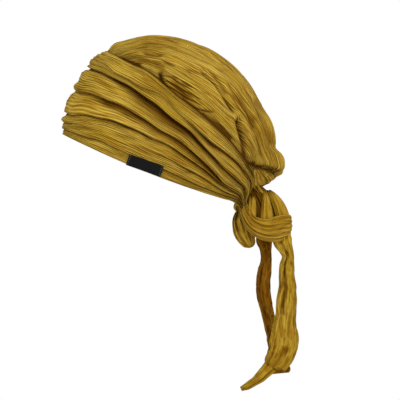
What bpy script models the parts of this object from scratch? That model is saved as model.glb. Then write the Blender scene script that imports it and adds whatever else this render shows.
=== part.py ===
"""Bandana cap in crinkled cotton gauze: a ruched brow band, a full gathered crown, a knot at the nape and two tails.

The wearer looks along -Y, the wearer's left is +X and up is +Z. Sizes are in millimetres unless a name says otherwise.
The origin is the middle of the head opening, half way from the brow to the nape.
"""

import math
from collections import namedtuple

import bmesh
import bpy
import numpy as np

MM = 0.001

# Cloth and the gap that neighbouring pieces keep.
BAND_WALL = 1.6
CROWN_WALL = 1.4
TAIL_WALL = 1.2
WRAP_WALL = 1.6
LABEL_WALL = 0.9
CLEARANCE = 0.4

# The head-shaped form that band and crown lie on. Seen from the side it is a rounded outline round FORM_Y, FORM_Z,
# whose radius follows HEAD_FORM. Its sections across are superellipses FORM_HALF_WIDTH wide.
FORM_Y = 17.4
FORM_Z = 38.2
FORM_HALF_WIDTH = 79.0
FORM_POWER = 2.3
FormRow = namedtuple("FormRow", "angle radius")  # degrees up from straight back, and mm
HEAD_FORM = (
    FormRow(-180, 110.5),
    FormRow(-135, 109.0),
    FormRow(-90, 110.0),
    FormRow(-60, 113.5),
    FormRow(-45, 117.0),
    FormRow(-28, 118.6),
    FormRow(-8, 121.4),
    FormRow(3, 117.7),
    FormRow(18, 109.0),
    FormRow(36, 106.4),
    FormRow(55, 104.3),
    FormRow(70, 104.6),
    FormRow(90, 106.2),
    FormRow(102, 108.8),
    FormRow(114, 110.0),
    FormRow(126, 115.0),
    FormRow(140, 112.9),
    FormRow(156, 111.7),
    FormRow(170, 112.2),
    FormRow(180, 110.5),
)

# The band. Its rim is a shallow curve from brow to nape, and its top edge a line over the temples.
RIM_BROW_ANGLE = 181.0
RIM_NAPE_Y = 92.7
RIM_NAPE_Z = -37.1
RIM_SAG = 4.7
TOP_BROW_ANGLE = 125.5
SidePoint = namedtuple("SidePoint", "y z")
TOP_EDGE = (
    SidePoint(-37.1, 124.8),
    SidePoint(-19.1, 115.0),
    SidePoint(4.4, 103.0),
    SidePoint(18.5, 90.0),
    SidePoint(33.8, 78.5),
    SidePoint(55.6, 62.7),
    SidePoint(73.0, 45.5),
    SidePoint(91.6, 26.3),
    SidePoint(106.8, 4.4),
    SidePoint(112.3, -15.3),
)
TiePoint = namedtuple("TiePoint", "rim_x rim_y rim_z top_x top_y top_z")
BAND_ENDS = (
    TiePoint(30.0, 98.5, -42.5, 26.0, 108.5, -23.5),
    TiePoint(21.0, 103.0, -48.5, 18.5, 106.5, -33.5),
    TiePoint(17.0, 108.0, -52.0, 15.6, 108.6, -42.5),
)
BAND_STATIONS = 20  # from the brow to one end
BAND_LEAVES_FORM = 0.86  # the share of the way at which the band turns off the head towards the knot
FOLD_AT = (0.0, 0.26, 0.50, 0.70, 0.86, 1.0)  # the places along the band that the fold table gives

# Each valley runs along the band at a share of its width above the rim. The puff below it has so many facets.
BandFold = namedtuple("BandFold", "name height depth facets")
BAND_FOLDS = (
    BandFold("hem", (0.06, 0.08, 0.09, 0.10, 0.12, 0.12), (1.2, 1.4, 1.4, 1.4, 1.2, 0.5), 2),
    BandFold("ear", (0.13, 0.20, 0.24, 0.21, 0.25, 0.26), (0.4, 2.0, 3.0, 3.2, 2.4, 1.0), 3),
    BandFold("brow_low", (0.20, 0.32, 0.36, 0.32, 0.37, 0.39), (3.2, 4.0, 3.6, 4.0, 3.0, 1.2), 3),
    BandFold("brow_mid", (0.45, 0.48, 0.49, 0.44, 0.49, 0.52), (3.6, 6.0, 7.0, 5.6, 4.0, 1.5), 3),
    BandFold("brow_high", (0.76, 0.71, 0.68, 0.60, 0.62, 0.66), (4.2, 7.0, 8.0, 6.4, 4.2, 1.5), 4),
    BandFold("top", (0.87, 0.82, 0.80, 0.76, 0.78, 0.80), (0.8, 2.0, 3.0, 3.0, 2.4, 1.0), 3),
)
TOP_PUFF_FACETS = 4
EDGE_ROLL = 1.2  # how far the band's two edges turn in
PUFF_ROUNDNESS = 0.7
PUFF_SAG = 0.22  # how far a puff hangs over the valley below it, as a share of its height

# The crown. It starts under the band's top edge and ends in a rolled gather at the nape.
CROWN_STATIONS = 26
CROWN_FACETS = 36
CROWN_NAPE_CROWDING = 0.35  # how much closer together its arches lie at the nape than at the front
CROWN_SIDE_CROWDING = 0.30  # and an arch's points at its feet than at its top
CROWN_FRONT = 0.13  # the share of the way along the band at which its first arch lands
CROWN_UNDER_BAND = 0.92  # the band's height at which the crown's hidden edge lies
CREST_FRONT_ANGLE = 129.0
CREST_NAPE_ANGLE = -35.0
CROWN_NAPE = 0.95  # the share of the way along the band at which its last arch lands
TUCK_DEPTH = 4.6
TUCK_REACH = 15.0
RollRow = namedtuple("RollRow", "angle rise")
NAPE_ROLL = (
    RollRow(-35.5, -13.0),
    RollRow(-32.0, -5.5),
    RollRow(-29.0, 0.0),
    RollRow(-25.0, 4.6),
    RollRow(-21.5, 9.4),
    RollRow(-17.0, 12.4),
    RollRow(-13.0, 11.4),
    RollRow(-10.0, 6.6),
    RollRow(-8.0, 0.0),
    RollRow(-4.0, -0.6),
    RollRow(0.0, 0.0),
)
ROLL_HALF_WIDTH = 46.0
NAPE_GATHERS = 9
NAPE_GATHER_DEPTH = 1.3
Crease = namedtuple("Crease", "name y z depth half_width")
CROWN_CREASES = (
    Crease("crown_long", (56.0, 72.0, 80.0, 93.0), (104.0, 92.0, 80.0, 61.0), 5.5, 6.0),
    Crease("pouch", (97.0, 99.5, 104.0, 108.0), (52.0, 38.0, 23.0, 8.0), 8.0, 6.5),
    Crease("temple_high", (20.0, 34.0, 48.0, 58.0), (102.0, 95.0, 87.0, 80.0), 4.0, 5.5),
    Crease("temple_low", (28.0, 38.0, 52.0, 64.0), (92.0, 85.0, 76.0, 68.0), 4.0, 5.0),
    Crease("pocket", (60.0, 74.0, 86.0, 90.0), (62.0, 55.0, 43.0, 34.0), 5.5, 5.5),
    Crease("back_inner", (87.0, 98.0, 106.0, 114.0), (90.0, 74.0, 56.0, 38.0), 3.5, 6.0),
    Crease("back_outer", (116.0, 122.0, 127.0, 130.0), (72.0, 58.0, 44.0, 26.0), 2.4, 5.5),
    Crease("top", (-5.0, 8.0, 20.0, 30.0), (137.0, 137.0, 137.0, 135.0), 2.4, 5.0),
)
FAR_SIDE_SHIFT = 7.0  # the far side's creases lie this much further back and down
FAR_SIDE_DEPTH = 0.8

# The knot: upright folds inside a belt that is wrapped round them.
KnotRow = namedtuple("KnotRow", "z y_front y_back half_x groove")
KNOT_FOLD_ROWS = (
    KnotRow(-67.0, 113.5, 144.5, 16.0, 0.2),
    KnotRow(-58.0, 110.8, 148.2, 20.4, 0.3),
    KnotRow(-51.0, 110.0, 148.8, 21.0, 0.6),
    KnotRow(-45.5, 109.6, 151.0, 20.8, 1.0),
    KnotRow(-37.0, 107.5, 149.5, 21.5, 1.0),
    KnotRow(-31.0, 107.0, 145.5, 20.0, 1.0),
    KnotRow(-26.0, 109.5, 141.0, 16.0, 0.9),
    KnotRow(-22.0, 115.0, 136.5, 11.0, 0.6),
    KnotRow(-19.6, 121.0, 132.5, 6.0, 0.2),
)
KnotGroove = namedtuple("KnotGroove", "angle depth half_angle")
KNOT_GROOVES = (
    KnotGroove(113, 9.5, 14),
    KnotGroove(65, 4.5, 12),
    KnotGroove(-113, 8.0, 15),
    KnotGroove(-60, 5.0, 14),
    KnotGroove(4, 3.0, 16),
    KnotGroove(180, 2.5, 16),
)
KNOT_FOLD_SIDES = 36
WrapRow = namedtuple("WrapRow", "x y z half_height")
KNOT_WRAP_ROWS = (
    WrapRow(0.0, 106.0, -48.0, 8.5),
    WrapRow(15.0, 111.0, -57.0, 9.5),
    WrapRow(22.0, 120.0, -64.0, 10.5),
    WrapRow(23.0, 132.0, -66.5, 11.0),
    WrapRow(17.5, 145.0, -64.0, 9.5),
    WrapRow(0.0, 151.5, -59.5, 8.5),
    WrapRow(-17.5, 145.0, -63.0, 9.5),
    WrapRow(-23.0, 131.0, -66.0, 11.0),
    WrapRow(-22.0, 119.0, -63.0, 10.5),
    WrapRow(-15.0, 111.0, -56.0, 9.5),
)
WRAP_STATIONS = 30
WRAP_FACETS = 8
WRAP_BULGE = 2.6
WRAP_FOLDS = 3
WRAP_FOLD_DEPTH = 0.7
EndRow = namedtuple("EndRow", "x y z half_width half_thick")
KNOT_END_ROWS = (
    EndRow(10.0, 99.2, -46.0, 3.0, 4.0),
    EndRow(10.5, 98.8, -51.5, 4.8, 5.6),
    EndRow(11.0, 98.9, -58.0, 6.2, 6.6),
    EndRow(11.0, 101.4, -66.0, 8.4, 7.0),
    EndRow(10.5, 105.0, -73.5, 9.4, 6.6),
    EndRow(10.0, 108.4, -80.0, 8.2, 5.6),
    EndRow(9.5, 110.0, -85.0, 4.0, 2.8),
)
KNOT_END_SIDES = 18
KNOT_END_FLUTES = 5
KNOT_END_FLUTE_DEPTH = 0.9

# The tails are strips folded lengthwise into a soft, open-backed tube. A row gives the middle of a section,
# its half width across, its half thickness and the way the strip runs there, in degrees from straight down.
TailRow = namedtuple("TailRow", "x y z half_width half_thick lean")
TAIL_NEAR_ROWS = (
    TailRow(16.0, 145.5, -75.0, 9.4, 4.8, 0),
    TailRow(16.0, 147.6, -82.0, 8.6, 4.7, 6),
    TailRow(16.0, 149.8, -89.0, 7.0, 4.6, 6),
    TailRow(15.0, 151.3, -96.0, 6.2, 4.6, 0),
    TailRow(14.0, 150.2, -107.0, 8.0, 4.8, -2),
    TailRow(13.0, 150.6, -119.0, 8.9, 5.0, 2),
    TailRow(12.0, 150.4, -132.0, 10.4, 5.2, -2),
    TailRow(11.5, 149.0, -146.0, 11.4, 5.4, -3),
    TailRow(11.0, 147.8, -160.0, 11.6, 5.6, -3),
    TailRow(10.5, 147.4, -174.0, 13.2, 5.8, -2),
    TailRow(10.0, 147.0, -187.0, 15.0, 6.0, -5),
    TailRow(10.0, 144.5, -199.0, 14.4, 6.0, -18),
    TailRow(10.0, 139.0, -209.0, 12.2, 5.4, -34),
    TailRow(10.0, 131.0, -217.5, 8.6, 4.6, -48),
    TailRow(10.0, 122.0, -225.0, 6.6, 3.8, -54),
    TailRow(10.0, 112.5, -231.5, 5.4, 3.2, -60),
    TailRow(10.0, 101.5, -237.8, 3.6, 2.8, -62),
)
TAIL_FAR_ROWS = (
    TailRow(-1.0, 125.5, -67.6, 8.2, 5.0, 0),
    TailRow(-1.5, 125.5, -78.0, 8.8, 5.2, 0),
    TailRow(-3.0, 127.3, -89.0, 6.2, 5.0, 4),
    TailRow(-4.0, 127.4, -100.0, 6.0, 4.8, -2),
    TailRow(-5.0, 126.2, -111.0, 7.6, 4.8, -4),
    TailRow(-6.0, 124.8, -124.0, 7.8, 5.0, -2),
    TailRow(-7.0, 125.4, -139.0, 7.8, 5.0, 4),
    TailRow(-7.5, 128.2, -152.0, 7.2, 4.8, 12),
    TailRow(-8.0, 131.0, -164.0, 6.8, 4.8, 13),
    TailRow(-8.0, 134.4, -177.0, 7.4, 4.8, 13),
    TailRow(-8.0, 137.6, -192.0, 8.2, 4.8, 11),
    TailRow(-8.0, 140.6, -208.0, 9.0, 4.6, 10),
    TailRow(-8.0, 142.6, -219.0, 9.2, 4.2, 6),
    TailRow(-8.0, 141.6, -225.5, 8.0, 3.4, -20),
)
TAIL_STATIONS = 22
TAIL_FACETS = 10
TAIL_OPENING = 30.0  # half the angle of the slit at the back of a tail's section
TailFold = namedtuple("TailFold", "angle depth half_angle")  # the angle is given from top to tip
TAIL_NEAR_FOLDS = (
    TailFold((-10, -25, 0, 10, -45, -60), 3.4, 20),
    TailFold((50, 40, 55, 40, 20, 10), 1.3, 16),
    TailFold((-70, -70, -60, -50, -95, -95), 1.2, 16),
)
TAIL_FAR_FOLDS = (
    TailFold((20, 40, 10, 0, 5, 10), 2.8, 20),
    TailFold((-50, -40, -55, -40, -45, -40), 1.6, 16),
    TailFold((75, 70, 65, 60, 70, 75), 1.2, 16),
)

# The label, a flat woven tab sewn on at the rim on the wearer's left.
LABEL_Y = -3.7
LABEL_Z = 3.5
LABEL_LENGTH = 39.0
LABEL_HEIGHT = 12.4
LABEL_TILT = -19.5

MUSTARD = (0.462, 0.292, 0.032, 1.0)
MUSTARD_SHADE = (0.330, 0.195, 0.022, 1.0)
LABEL_BLACK = (0.012, 0.012, 0.013, 1.0)


def clear_scene():
    for obj in list(bpy.data.objects):
        bpy.data.objects.remove(obj)


def curve_through(at, values, where):
    """The smooth curve through the given values, read at one place or many."""
    at = np.asarray(at, float)
    values = np.asarray(values, float)
    where = np.asarray(where, float)
    slopes = np.gradient(values, at, axis=0)
    left = np.clip(np.searchsorted(at, where) - 1, 0, len(at) - 2)
    step = at[left + 1] - at[left]
    t = np.clip((where - at[left]) / step, 0.0, 1.0)
    if values.ndim > 1:
        t = t[..., None]
        step = step[..., None]
    rise = t * t * (3 - 2 * t)
    start = values[left] * (1 - rise) + values[left + 1] * rise
    return start + step * t * (1 - t) * (slopes[left] * (1 - t) - slopes[left + 1] * t)


def columns(rows, *names):
    """The named columns of a table, one array with a row for each of the table's rows."""
    return np.array([[getattr(row, name) for name in names] for row in rows], float)


def even_lengths(points, count):
    """A line's points, spaced evenly along its length."""
    steps = np.linalg.norm(np.diff(points, axis=0), axis=1)
    along = np.concatenate([[0.0], np.cumsum(steps)])
    wanted = np.linspace(0.0, along[-1], count)
    return np.stack([np.interp(wanted, along, points[:, k]) for k in range(3)], axis=1)


def form_radius(angle):
    table = columns(HEAD_FORM, "angle", "radius")
    wrapped = (np.asarray(angle, float) + 180.0) % 360.0 - 180.0
    return curve_through(table[:, 0], table[:, 1], wrapped)


def on_outline(angle):
    """The point of the form's side outline at this angle, in the middle plane."""
    turn = np.radians(angle)
    radius = form_radius(angle)
    return np.array([0.0, FORM_Y + radius * np.cos(turn), FORM_Z + radius * np.sin(turn)])


def onto_form(points):
    """Each point moved along its ray from the form's middle until it lies on the form."""
    middle = np.array([0.0, FORM_Y, FORM_Z])
    return middle + (points - middle) / form_level(points)[..., None]


def from_side(y, z):
    """The point of the form's near side that lies at y, z when it is looked at from the side."""
    dy = np.asarray(y, float) - FORM_Y
    dz = np.asarray(z, float) - FORM_Z
    share = np.hypot(dy, dz) / form_radius(np.degrees(np.arctan2(dz, dy)))
    left = np.clip(1.0 - share**FORM_POWER, 0.0, 1.0)
    x = FORM_HALF_WIDTH * left ** (1.0 / FORM_POWER)
    return np.stack([x, dy + FORM_Y, dz + FORM_Z], axis=-1)


def form_normals(points):
    """Unit normals of the form at points on or near it, pointing away from its middle."""
    step = 0.5
    slope = np.empty_like(points)
    for k in range(3):
        shift = np.zeros(3)
        shift[k] = step
        slope[..., k] = form_level(points + shift) - form_level(points - shift)
    return slope / np.linalg.norm(slope, axis=-1, keepdims=True)


def form_level(points):
    """1 on the form, less inside it and more outside it."""
    ray = points - np.array([0.0, FORM_Y, FORM_Z])
    angle = np.degrees(np.arctan2(ray[..., 2], ray[..., 1]))
    along = np.hypot(ray[..., 1], ray[..., 2]) / form_radius(angle)
    return ((np.abs(ray[..., 0]) / FORM_HALF_WIDTH) ** FORM_POWER + along**FORM_POWER) ** (1.0 / FORM_POWER)


def surface_normals(grid):
    """Unit normals of a grid of points, pointing away from the form's middle."""
    across = np.gradient(grid, axis=0)
    along = np.gradient(grid, axis=1)
    normals = np.cross(across, along)
    normals /= np.maximum(np.linalg.norm(normals, axis=-1, keepdims=True), 1e-9)
    outward = np.sum(normals * (grid - np.array([0.0, FORM_Y, FORM_Z])), axis=-1)
    return normals if outward.mean() > 0 else -normals


def rim_line():
    """The band's lower edge, from the brow to the near end."""
    brow = on_outline(RIM_BROW_ANGLE)
    share = np.linspace(0.0, 1.0, 400) ** 2
    y = brow[1] + share * (RIM_NAPE_Y - brow[1])
    z = brow[2] + share * (RIM_NAPE_Z - brow[2]) - RIM_SAG * 4 * share * (1 - share)
    line = from_side(y, z)
    line[0, 0] = 0.0
    return join_tie(line, columns(BAND_ENDS, "rim_x", "rim_y", "rim_z"))


def top_line():
    """The band's upper edge, from the brow to the near end."""
    brow = on_outline(TOP_BROW_ANGLE)
    table = np.vstack([brow[1:], columns(TOP_EDGE, "y", "z")])
    share = np.linspace(0.0, 1.0, 400) ** 1.5
    side = curve_through(np.linspace(0.0, 1.0, len(table)), table, share)
    line = from_side(side[:, 0], side[:, 1])
    line[0, 0] = 0.0
    return join_tie(line, columns(BAND_ENDS, "top_x", "top_y", "top_z"))


def join_tie(line, ends):
    """A line on the form, carried on through the points where the band leaves it for the knot."""
    on_form = even_lengths(line, 13)
    stops = np.vstack([on_form, ends])
    steps = np.linalg.norm(np.diff(stops, axis=0), axis=1)
    along = np.concatenate([[0.0], np.cumsum(steps)])
    dense = np.linspace(0.0, along[-1], 500)
    smooth = curve_through(along, stops, dense)
    smooth[0] = line[0]
    return smooth


def band_base(share, height):
    """The band's surface without its folds, at a share of the way to its end and of its width above the rim."""
    dense = np.linspace(0.0, 1.0, 500)
    rim = np.stack([np.interp(share, dense, RIM_LINE[:, k]) for k in range(3)], axis=-1)
    top = np.stack([np.interp(share, dense, TOP_LINE[:, k]) for k in range(3)], axis=-1)
    flat = rim + (top - rim) * height[..., None]
    bowed = flat.copy()
    bow = 4 * height * (1 - height) * 2.0
    bowed[..., 0] += bow
    bowed[..., 1] += bow
    leave = np.clip((share - BAND_LEAVES_FORM + 0.04) / (1 - BAND_LEAVES_FORM), 0.0, 1.0)
    leave = (leave * leave * (3 - 2 * leave))[..., None]
    return onto_form(flat) * (1 - leave) + bowed * leave


def band_profile(share):
    """Heights and depths across the band at this share of the way: valleys from the table, round puffs between."""
    valleys = [0.0]
    depths = [EDGE_ROLL]
    for fold in BAND_FOLDS:
        valleys.append(float(curve_through(FOLD_AT, fold.height, share)))
        depths.append(float(curve_through(FOLD_AT, fold.depth, share)))
    valleys.append(1.0)
    depths.append(EDGE_ROLL)
    facets = [fold.facets for fold in BAND_FOLDS] + [TOP_PUFF_FACETS]
    heights = []
    insets = []
    for k, count in enumerate(facets):
        steps = np.linspace(0.0, 1.0, count + 1)[: count if k < len(facets) - 1 else count + 1]
        hollow = 1 - np.sin(np.pi * steps) ** PUFF_ROUNDNESS
        sag = 0.0 if k == 0 else PUFF_SAG * np.sin(np.pi * steps) * (1 - steps)
        heights.extend(valleys[k] + (steps - sag) * (valleys[k + 1] - valleys[k]))
        insets.extend((depths[k] * (1 - steps) + depths[k + 1] * steps) * hollow)
    return np.array(heights), np.array(insets)


def band_grid():
    """Points of the band's outer face, from the far end round the brow to the near end."""
    shares = np.linspace(0.0, 1.0, BAND_STATIONS + 1)
    profiles = [band_profile(share) for share in shares]
    heights = np.array([profile[0] for profile in profiles])
    insets = np.array([profile[1] for profile in profiles])
    where = np.repeat(shares[:, None], heights.shape[1], axis=1)
    near = band_base(where, heights)
    near[0, :, 0] = 0.0
    whole = np.concatenate([near[:0:-1] * np.array([-1.0, 1.0, 1.0]), near])
    depth = np.concatenate([insets[:0:-1], insets])
    return whole - surface_normals(whole) * depth[..., None]


def crown_grid():
    """Points of the crown's outer face: arches from the far side over the top to the near side."""
    even = np.linspace(0.0, 1.0, CROWN_STATIONS + 1)
    stations = even * (1 + CROWN_NAPE_CROWDING * (1 - even))
    even = np.linspace(-1.0, 1.0, CROWN_FACETS + 1)
    sweep = 90.0 * even * (1 + CROWN_SIDE_CROWDING * (1 - even**2))
    landing = CROWN_FRONT + stations * (CROWN_NAPE - CROWN_FRONT)
    feet = band_base(landing, np.full_like(landing, CROWN_UNDER_BAND))
    crest_angle = CREST_FRONT_ANGLE + stations * (CREST_NAPE_ANGLE - CREST_FRONT_ANGLE)
    crest = np.array([on_outline(angle) for angle in crest_angle])
    lift = np.cos(np.radians(sweep))
    grid = np.empty((len(stations), len(sweep), 3))
    grid[..., 0] = feet[:, None, 0] * np.sin(np.radians(sweep))
    grid[..., 1] = feet[:, None, 1] + (crest - feet)[:, None, 1] * lift
    grid[..., 2] = feet[:, None, 2] + (crest - feet)[:, None, 2] * lift
    grid = onto_form(grid)
    return grid + form_normals(grid) * crown_relief(grid, sweep)[..., None]


def distance_to_line(points, line):
    """How far each point is from a line given by its points."""
    best = np.full(points.shape[:-1], np.inf)
    for start, end in zip(line[:-1], line[1:]):
        way = end - start
        t = np.clip(np.sum((points - start) * way, axis=-1) / max(float(way @ way), 1e-9), 0.0, 1.0)
        best = np.minimum(best, np.linalg.norm(points - start - t[..., None] * way, axis=-1))
    return best


def crown_relief(grid, sweep):
    """How far the crown stands off the form: tucked in at its edge, rolled at the nape, dented along its creases."""
    edge = TOP_LINE[::12]
    mirrored = grid * np.array([-1.0, 1.0, 1.0])
    near_side = grid[..., 0] >= 0
    folded = np.where(near_side[..., None], grid, mirrored)
    from_edge = distance_to_line(folded, edge)
    from_edge[0, :] = 0.0
    from_edge[:, 0] = 0.0
    from_edge[:, -1] = 0.0
    rise = np.clip(from_edge / TUCK_REACH, 0.0, 1.0)
    relief = -TUCK_DEPTH * (1 - rise * rise * (3 - 2 * rise))
    angle = np.degrees(np.arctan2(grid[..., 2] - FORM_Z, grid[..., 1] - FORM_Y))
    roll = columns(NAPE_ROLL, "angle", "rise")
    fade = np.clip(1 - (grid[..., 0] / ROLL_HALF_WIDTH) ** 2, 0.0, 1.0)
    rolled = curve_through(roll[:, 0], roll[:, 1], angle) * fade
    gathers = np.cos(np.radians(sweep) * NAPE_GATHERS * 2)
    relief = relief + rolled + gathers * NAPE_GATHER_DEPTH * np.clip(rolled / 10.0, 0.0, 1.0)
    for crease in CROWN_CREASES:
        shift = np.where(near_side, 0.0, FAR_SIDE_SHIFT)
        seen = np.stack([np.zeros_like(angle), grid[..., 1] - shift, grid[..., 2] + shift], axis=-1)
        at = np.linspace(0.0, 1.0, len(crease.y))
        path = curve_through(at, np.column_stack([crease.y, crease.z]), np.linspace(0.0, 1.0, 13))
        line = np.column_stack([np.zeros(len(path)), path])
        away = distance_to_line(seen, line)
        strength = np.where(near_side, 1.0, FAR_SIDE_DEPTH) * np.clip(np.abs(grid[..., 0]) / 12.0, 0.0, 1.0)
        relief = relief - crease.depth * strength * np.exp(-((away / crease.half_width) ** 2)) * rise
    return relief


def mesh_object(name, points, faces, colour, roughness, collection):
    """A named object made of these faces, with its own material."""
    mesh = bpy.data.meshes.new(name)
    mesh.from_pydata([tuple(p * MM) for p in points.reshape(-1, 3)], [], faces)
    mesh.update()
    material = bpy.data.materials.new(name)
    material.use_nodes = True
    shader = material.node_tree.nodes["Principled BSDF"]
    shader.inputs["Base Color"].default_value = colour
    shader.inputs["Roughness"].default_value = roughness
    shader.inputs["Metallic"].default_value = 0.0
    mesh.materials.append(material)
    obj = bpy.data.objects.new(name, mesh)
    collection.objects.link(obj)
    return obj


def sheet_faces(rows, count, looped=False):
    """The quads of a grid of points. A looped grid closes on its first row."""
    faces = []
    for i in range(rows if looped else rows - 1):
        for j in range(count - 1):
            after = (i + 1) % rows
            faces.append((i * count + j, after * count + j, after * count + j + 1, i * count + j + 1))
    return faces


def add_sheet(name, grid, wall, colour, collection, looped=False):
    """Cloth: an open surface given a wall on its inner side."""
    faces = sheet_faces(grid.shape[0], grid.shape[1], looped)
    obj = mesh_object(name, grid, faces, colour, 0.92, collection)
    face_outward(obj)
    solid = obj.modifiers.new("wall", "SOLIDIFY")
    solid.thickness = wall * MM
    solid.offset = -1.0
    solid.use_rim = True
    solid.thickness_clamp = 1.0
    obj.data.shade_smooth()
    return obj


def face_outward(obj):
    """Turns the faces so that most of them look away from the piece's own middle line."""
    mesh = bmesh.new()
    mesh.from_mesh(obj.data)
    middle = sum((v.co for v in mesh.verts), start=mesh.verts[:][0].co * 0) / len(mesh.verts)
    score = sum((f.calc_center_median() - middle).dot(f.normal) * f.calc_area() for f in mesh.faces)
    if score < 0:
        bmesh.ops.reverse_faces(mesh, faces=mesh.faces[:])
    mesh.to_mesh(obj.data)
    mesh.free()


def add_bundle(name, rings, colour, collection):
    """A solid bundle of cloth lofted through closed rings, its two ends capped."""
    count = rings.shape[1]
    faces = []
    for i in range(len(rings) - 1):
        for j in range(count):
            after = (j + 1) % count
            low, high = i * count, (i + 1) * count
            faces.append((low + j, low + after, high + after, high + j))
    faces.append(tuple(range(count)))
    last = (len(rings) - 1) * count
    faces.append(tuple(range(last, last + count)))
    obj = mesh_object(name, rings, faces, colour, 0.92, collection)
    mesh = bmesh.new()
    mesh.from_mesh(obj.data)
    bmesh.ops.recalc_face_normals(mesh, faces=mesh.faces[:])
    mesh.to_mesh(obj.data)
    mesh.free()
    obj.data.shade_smooth()
    return obj


def knot_fold_rings():
    """Rings of the upright folds, from inside the wrap to their tops."""
    turn = np.linspace(0.0, 360.0, KNOT_FOLD_SIDES, endpoint=False)
    rings = []
    for row in KNOT_FOLD_ROWS:
        middle = (row.y_front + row.y_back) / 2
        half_y = (row.y_back - row.y_front) / 2
        size = np.ones_like(turn)
        for groove in KNOT_GROOVES:
            away = (turn - groove.angle + 180.0) % 360.0 - 180.0
            reach = (half_y + row.half_x) / 2
            size -= row.groove * groove.depth / reach * np.exp(-((away / groove.half_angle) ** 2))
        x = row.half_x * np.sin(np.radians(turn)) * size
        y = middle + half_y * np.cos(np.radians(turn)) * size
        rings.append(np.column_stack([x, y, np.full_like(turn, row.z)]))
    return np.array(rings)


def knot_wrap_grid():
    """Points of the belt round the knot, a closed loop of sections from its lower to its upper edge."""
    rows = columns(KNOT_WRAP_ROWS, "x", "y", "z", "half_height")
    count = len(rows)
    around = np.vstack([rows[-2:], rows, rows[:3]])
    path = curve_through(np.arange(-2, count + 3), around, np.linspace(0, count, WRAP_STATIONS, endpoint=False))
    middle = rows[:, :2].mean(axis=0)
    outward = path[:, :2] - middle
    outward /= np.linalg.norm(outward, axis=1, keepdims=True)
    height = np.linspace(-1.0, 1.0, WRAP_FACETS + 1)
    bulge = WRAP_BULGE * (1 - height**2) + WRAP_FOLD_DEPTH * np.cos(height * math.pi * WRAP_FOLDS)
    grid = np.empty((len(path), len(height), 3))
    grid[..., 0] = path[:, None, 0] + outward[:, None, 0] * bulge
    grid[..., 1] = path[:, None, 1] + outward[:, None, 1] * bulge
    grid[..., 2] = path[:, None, 2] + path[:, None, 3] * height
    return grid


def knot_end_rings():
    """Rings of the folded loop at the lower front of the knot."""
    turn = np.linspace(0.0, 2 * math.pi, KNOT_END_SIDES, endpoint=False)
    rings = []
    for row in KNOT_END_ROWS:
        flute = 1 + KNOT_END_FLUTE_DEPTH / row.half_width * 0.5 * np.cos(turn * KNOT_END_FLUTES)
        x = row.x + row.half_thick * np.sin(turn) * flute
        y = row.y + row.half_width * np.cos(turn) * flute
        rings.append(np.column_stack([x, y, np.full_like(turn, row.z)]))
    return np.array(rings)


def tail_grid(rows, folds):
    """Points of a tail: sections of an open-backed tube, from the knot to the tip."""
    table = columns(rows, "x", "y", "z", "half_width", "half_thick", "lean")
    steps = np.linalg.norm(np.diff(table[:, :3], axis=0), axis=1)
    along = np.concatenate([[0.0], np.cumsum(steps)])
    stations = np.linspace(0.0, 1.0, TAIL_STATIONS + 1)
    section = curve_through(along / along[-1], table, stations)
    turn = np.linspace(-180.0 + TAIL_OPENING, 180.0 - TAIL_OPENING, TAIL_FACETS + 1)
    lean = np.radians(section[:, 5])
    inset = np.zeros((len(stations), len(turn)))
    for fold in folds:
        places = np.linspace(0.0, 1.0, len(fold.angle))
        at = curve_through(places, fold.angle, stations)
        inset += fold.depth * np.exp(-(((turn - at[:, None]) / fold.half_angle) ** 2))
    inset = np.minimum(inset, section[:, 4:5] * 0.45)
    across = section[:, 3:4] * np.sin(np.radians(turn))
    depth = section[:, 4:5] * np.cos(np.radians(turn)) - inset
    grid = np.empty((len(stations), len(turn), 3))
    grid[..., 0] = section[:, 0:1] + depth
    grid[..., 1] = section[:, 1:2] + across * np.cos(lean)[:, None]
    grid[..., 2] = section[:, 2:3] + across * np.sin(lean)[:, None]
    return grid


def label_grid():
    """Points of the label's outer face, laid over the band at the rim."""
    tilt = math.radians(LABEL_TILT)
    along = np.linspace(-0.5, 0.5, 9) * LABEL_LENGTH
    up = np.linspace(-0.5, 0.5, 4) * LABEL_HEIGHT
    along, up = np.meshgrid(along, up, indexing="ij")
    y = LABEL_Y + along * math.cos(tilt) - up * math.sin(tilt)
    z = LABEL_Z + along * math.sin(tilt) + up * math.cos(tilt)
    grid = from_side(y, z)
    return grid + form_normals(grid) * (CLEARANCE + LABEL_WALL)


def build():
    clear_scene()
    cap = bpy.data.collections.new("bandana_cap")
    bpy.context.scene.collection.children.link(cap)
    add_sheet("band", band_grid(), BAND_WALL, MUSTARD, cap)
    add_sheet("crown", crown_grid(), CROWN_WALL, MUSTARD, cap)
    add_bundle("knot_folds", knot_fold_rings(), MUSTARD, cap)
    add_sheet("knot_wrap", knot_wrap_grid(), WRAP_WALL, MUSTARD, cap, looped=True)
    add_bundle("knot_end", knot_end_rings(), MUSTARD, cap)
    add_sheet("tail_near", tail_grid(TAIL_NEAR_ROWS, TAIL_NEAR_FOLDS), TAIL_WALL, MUSTARD, cap)
    add_sheet("tail_far", tail_grid(TAIL_FAR_ROWS, TAIL_FAR_FOLDS), TAIL_WALL, MUSTARD_SHADE, cap)
    label = add_sheet("label", label_grid(), LABEL_WALL, LABEL_BLACK, cap)
    label.data.materials[0].node_tree.nodes["Principled BSDF"].inputs["Roughness"].default_value = 0.7


RIM_LINE = rim_line()
TOP_LINE = top_line()
build()
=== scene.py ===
import math

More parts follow.
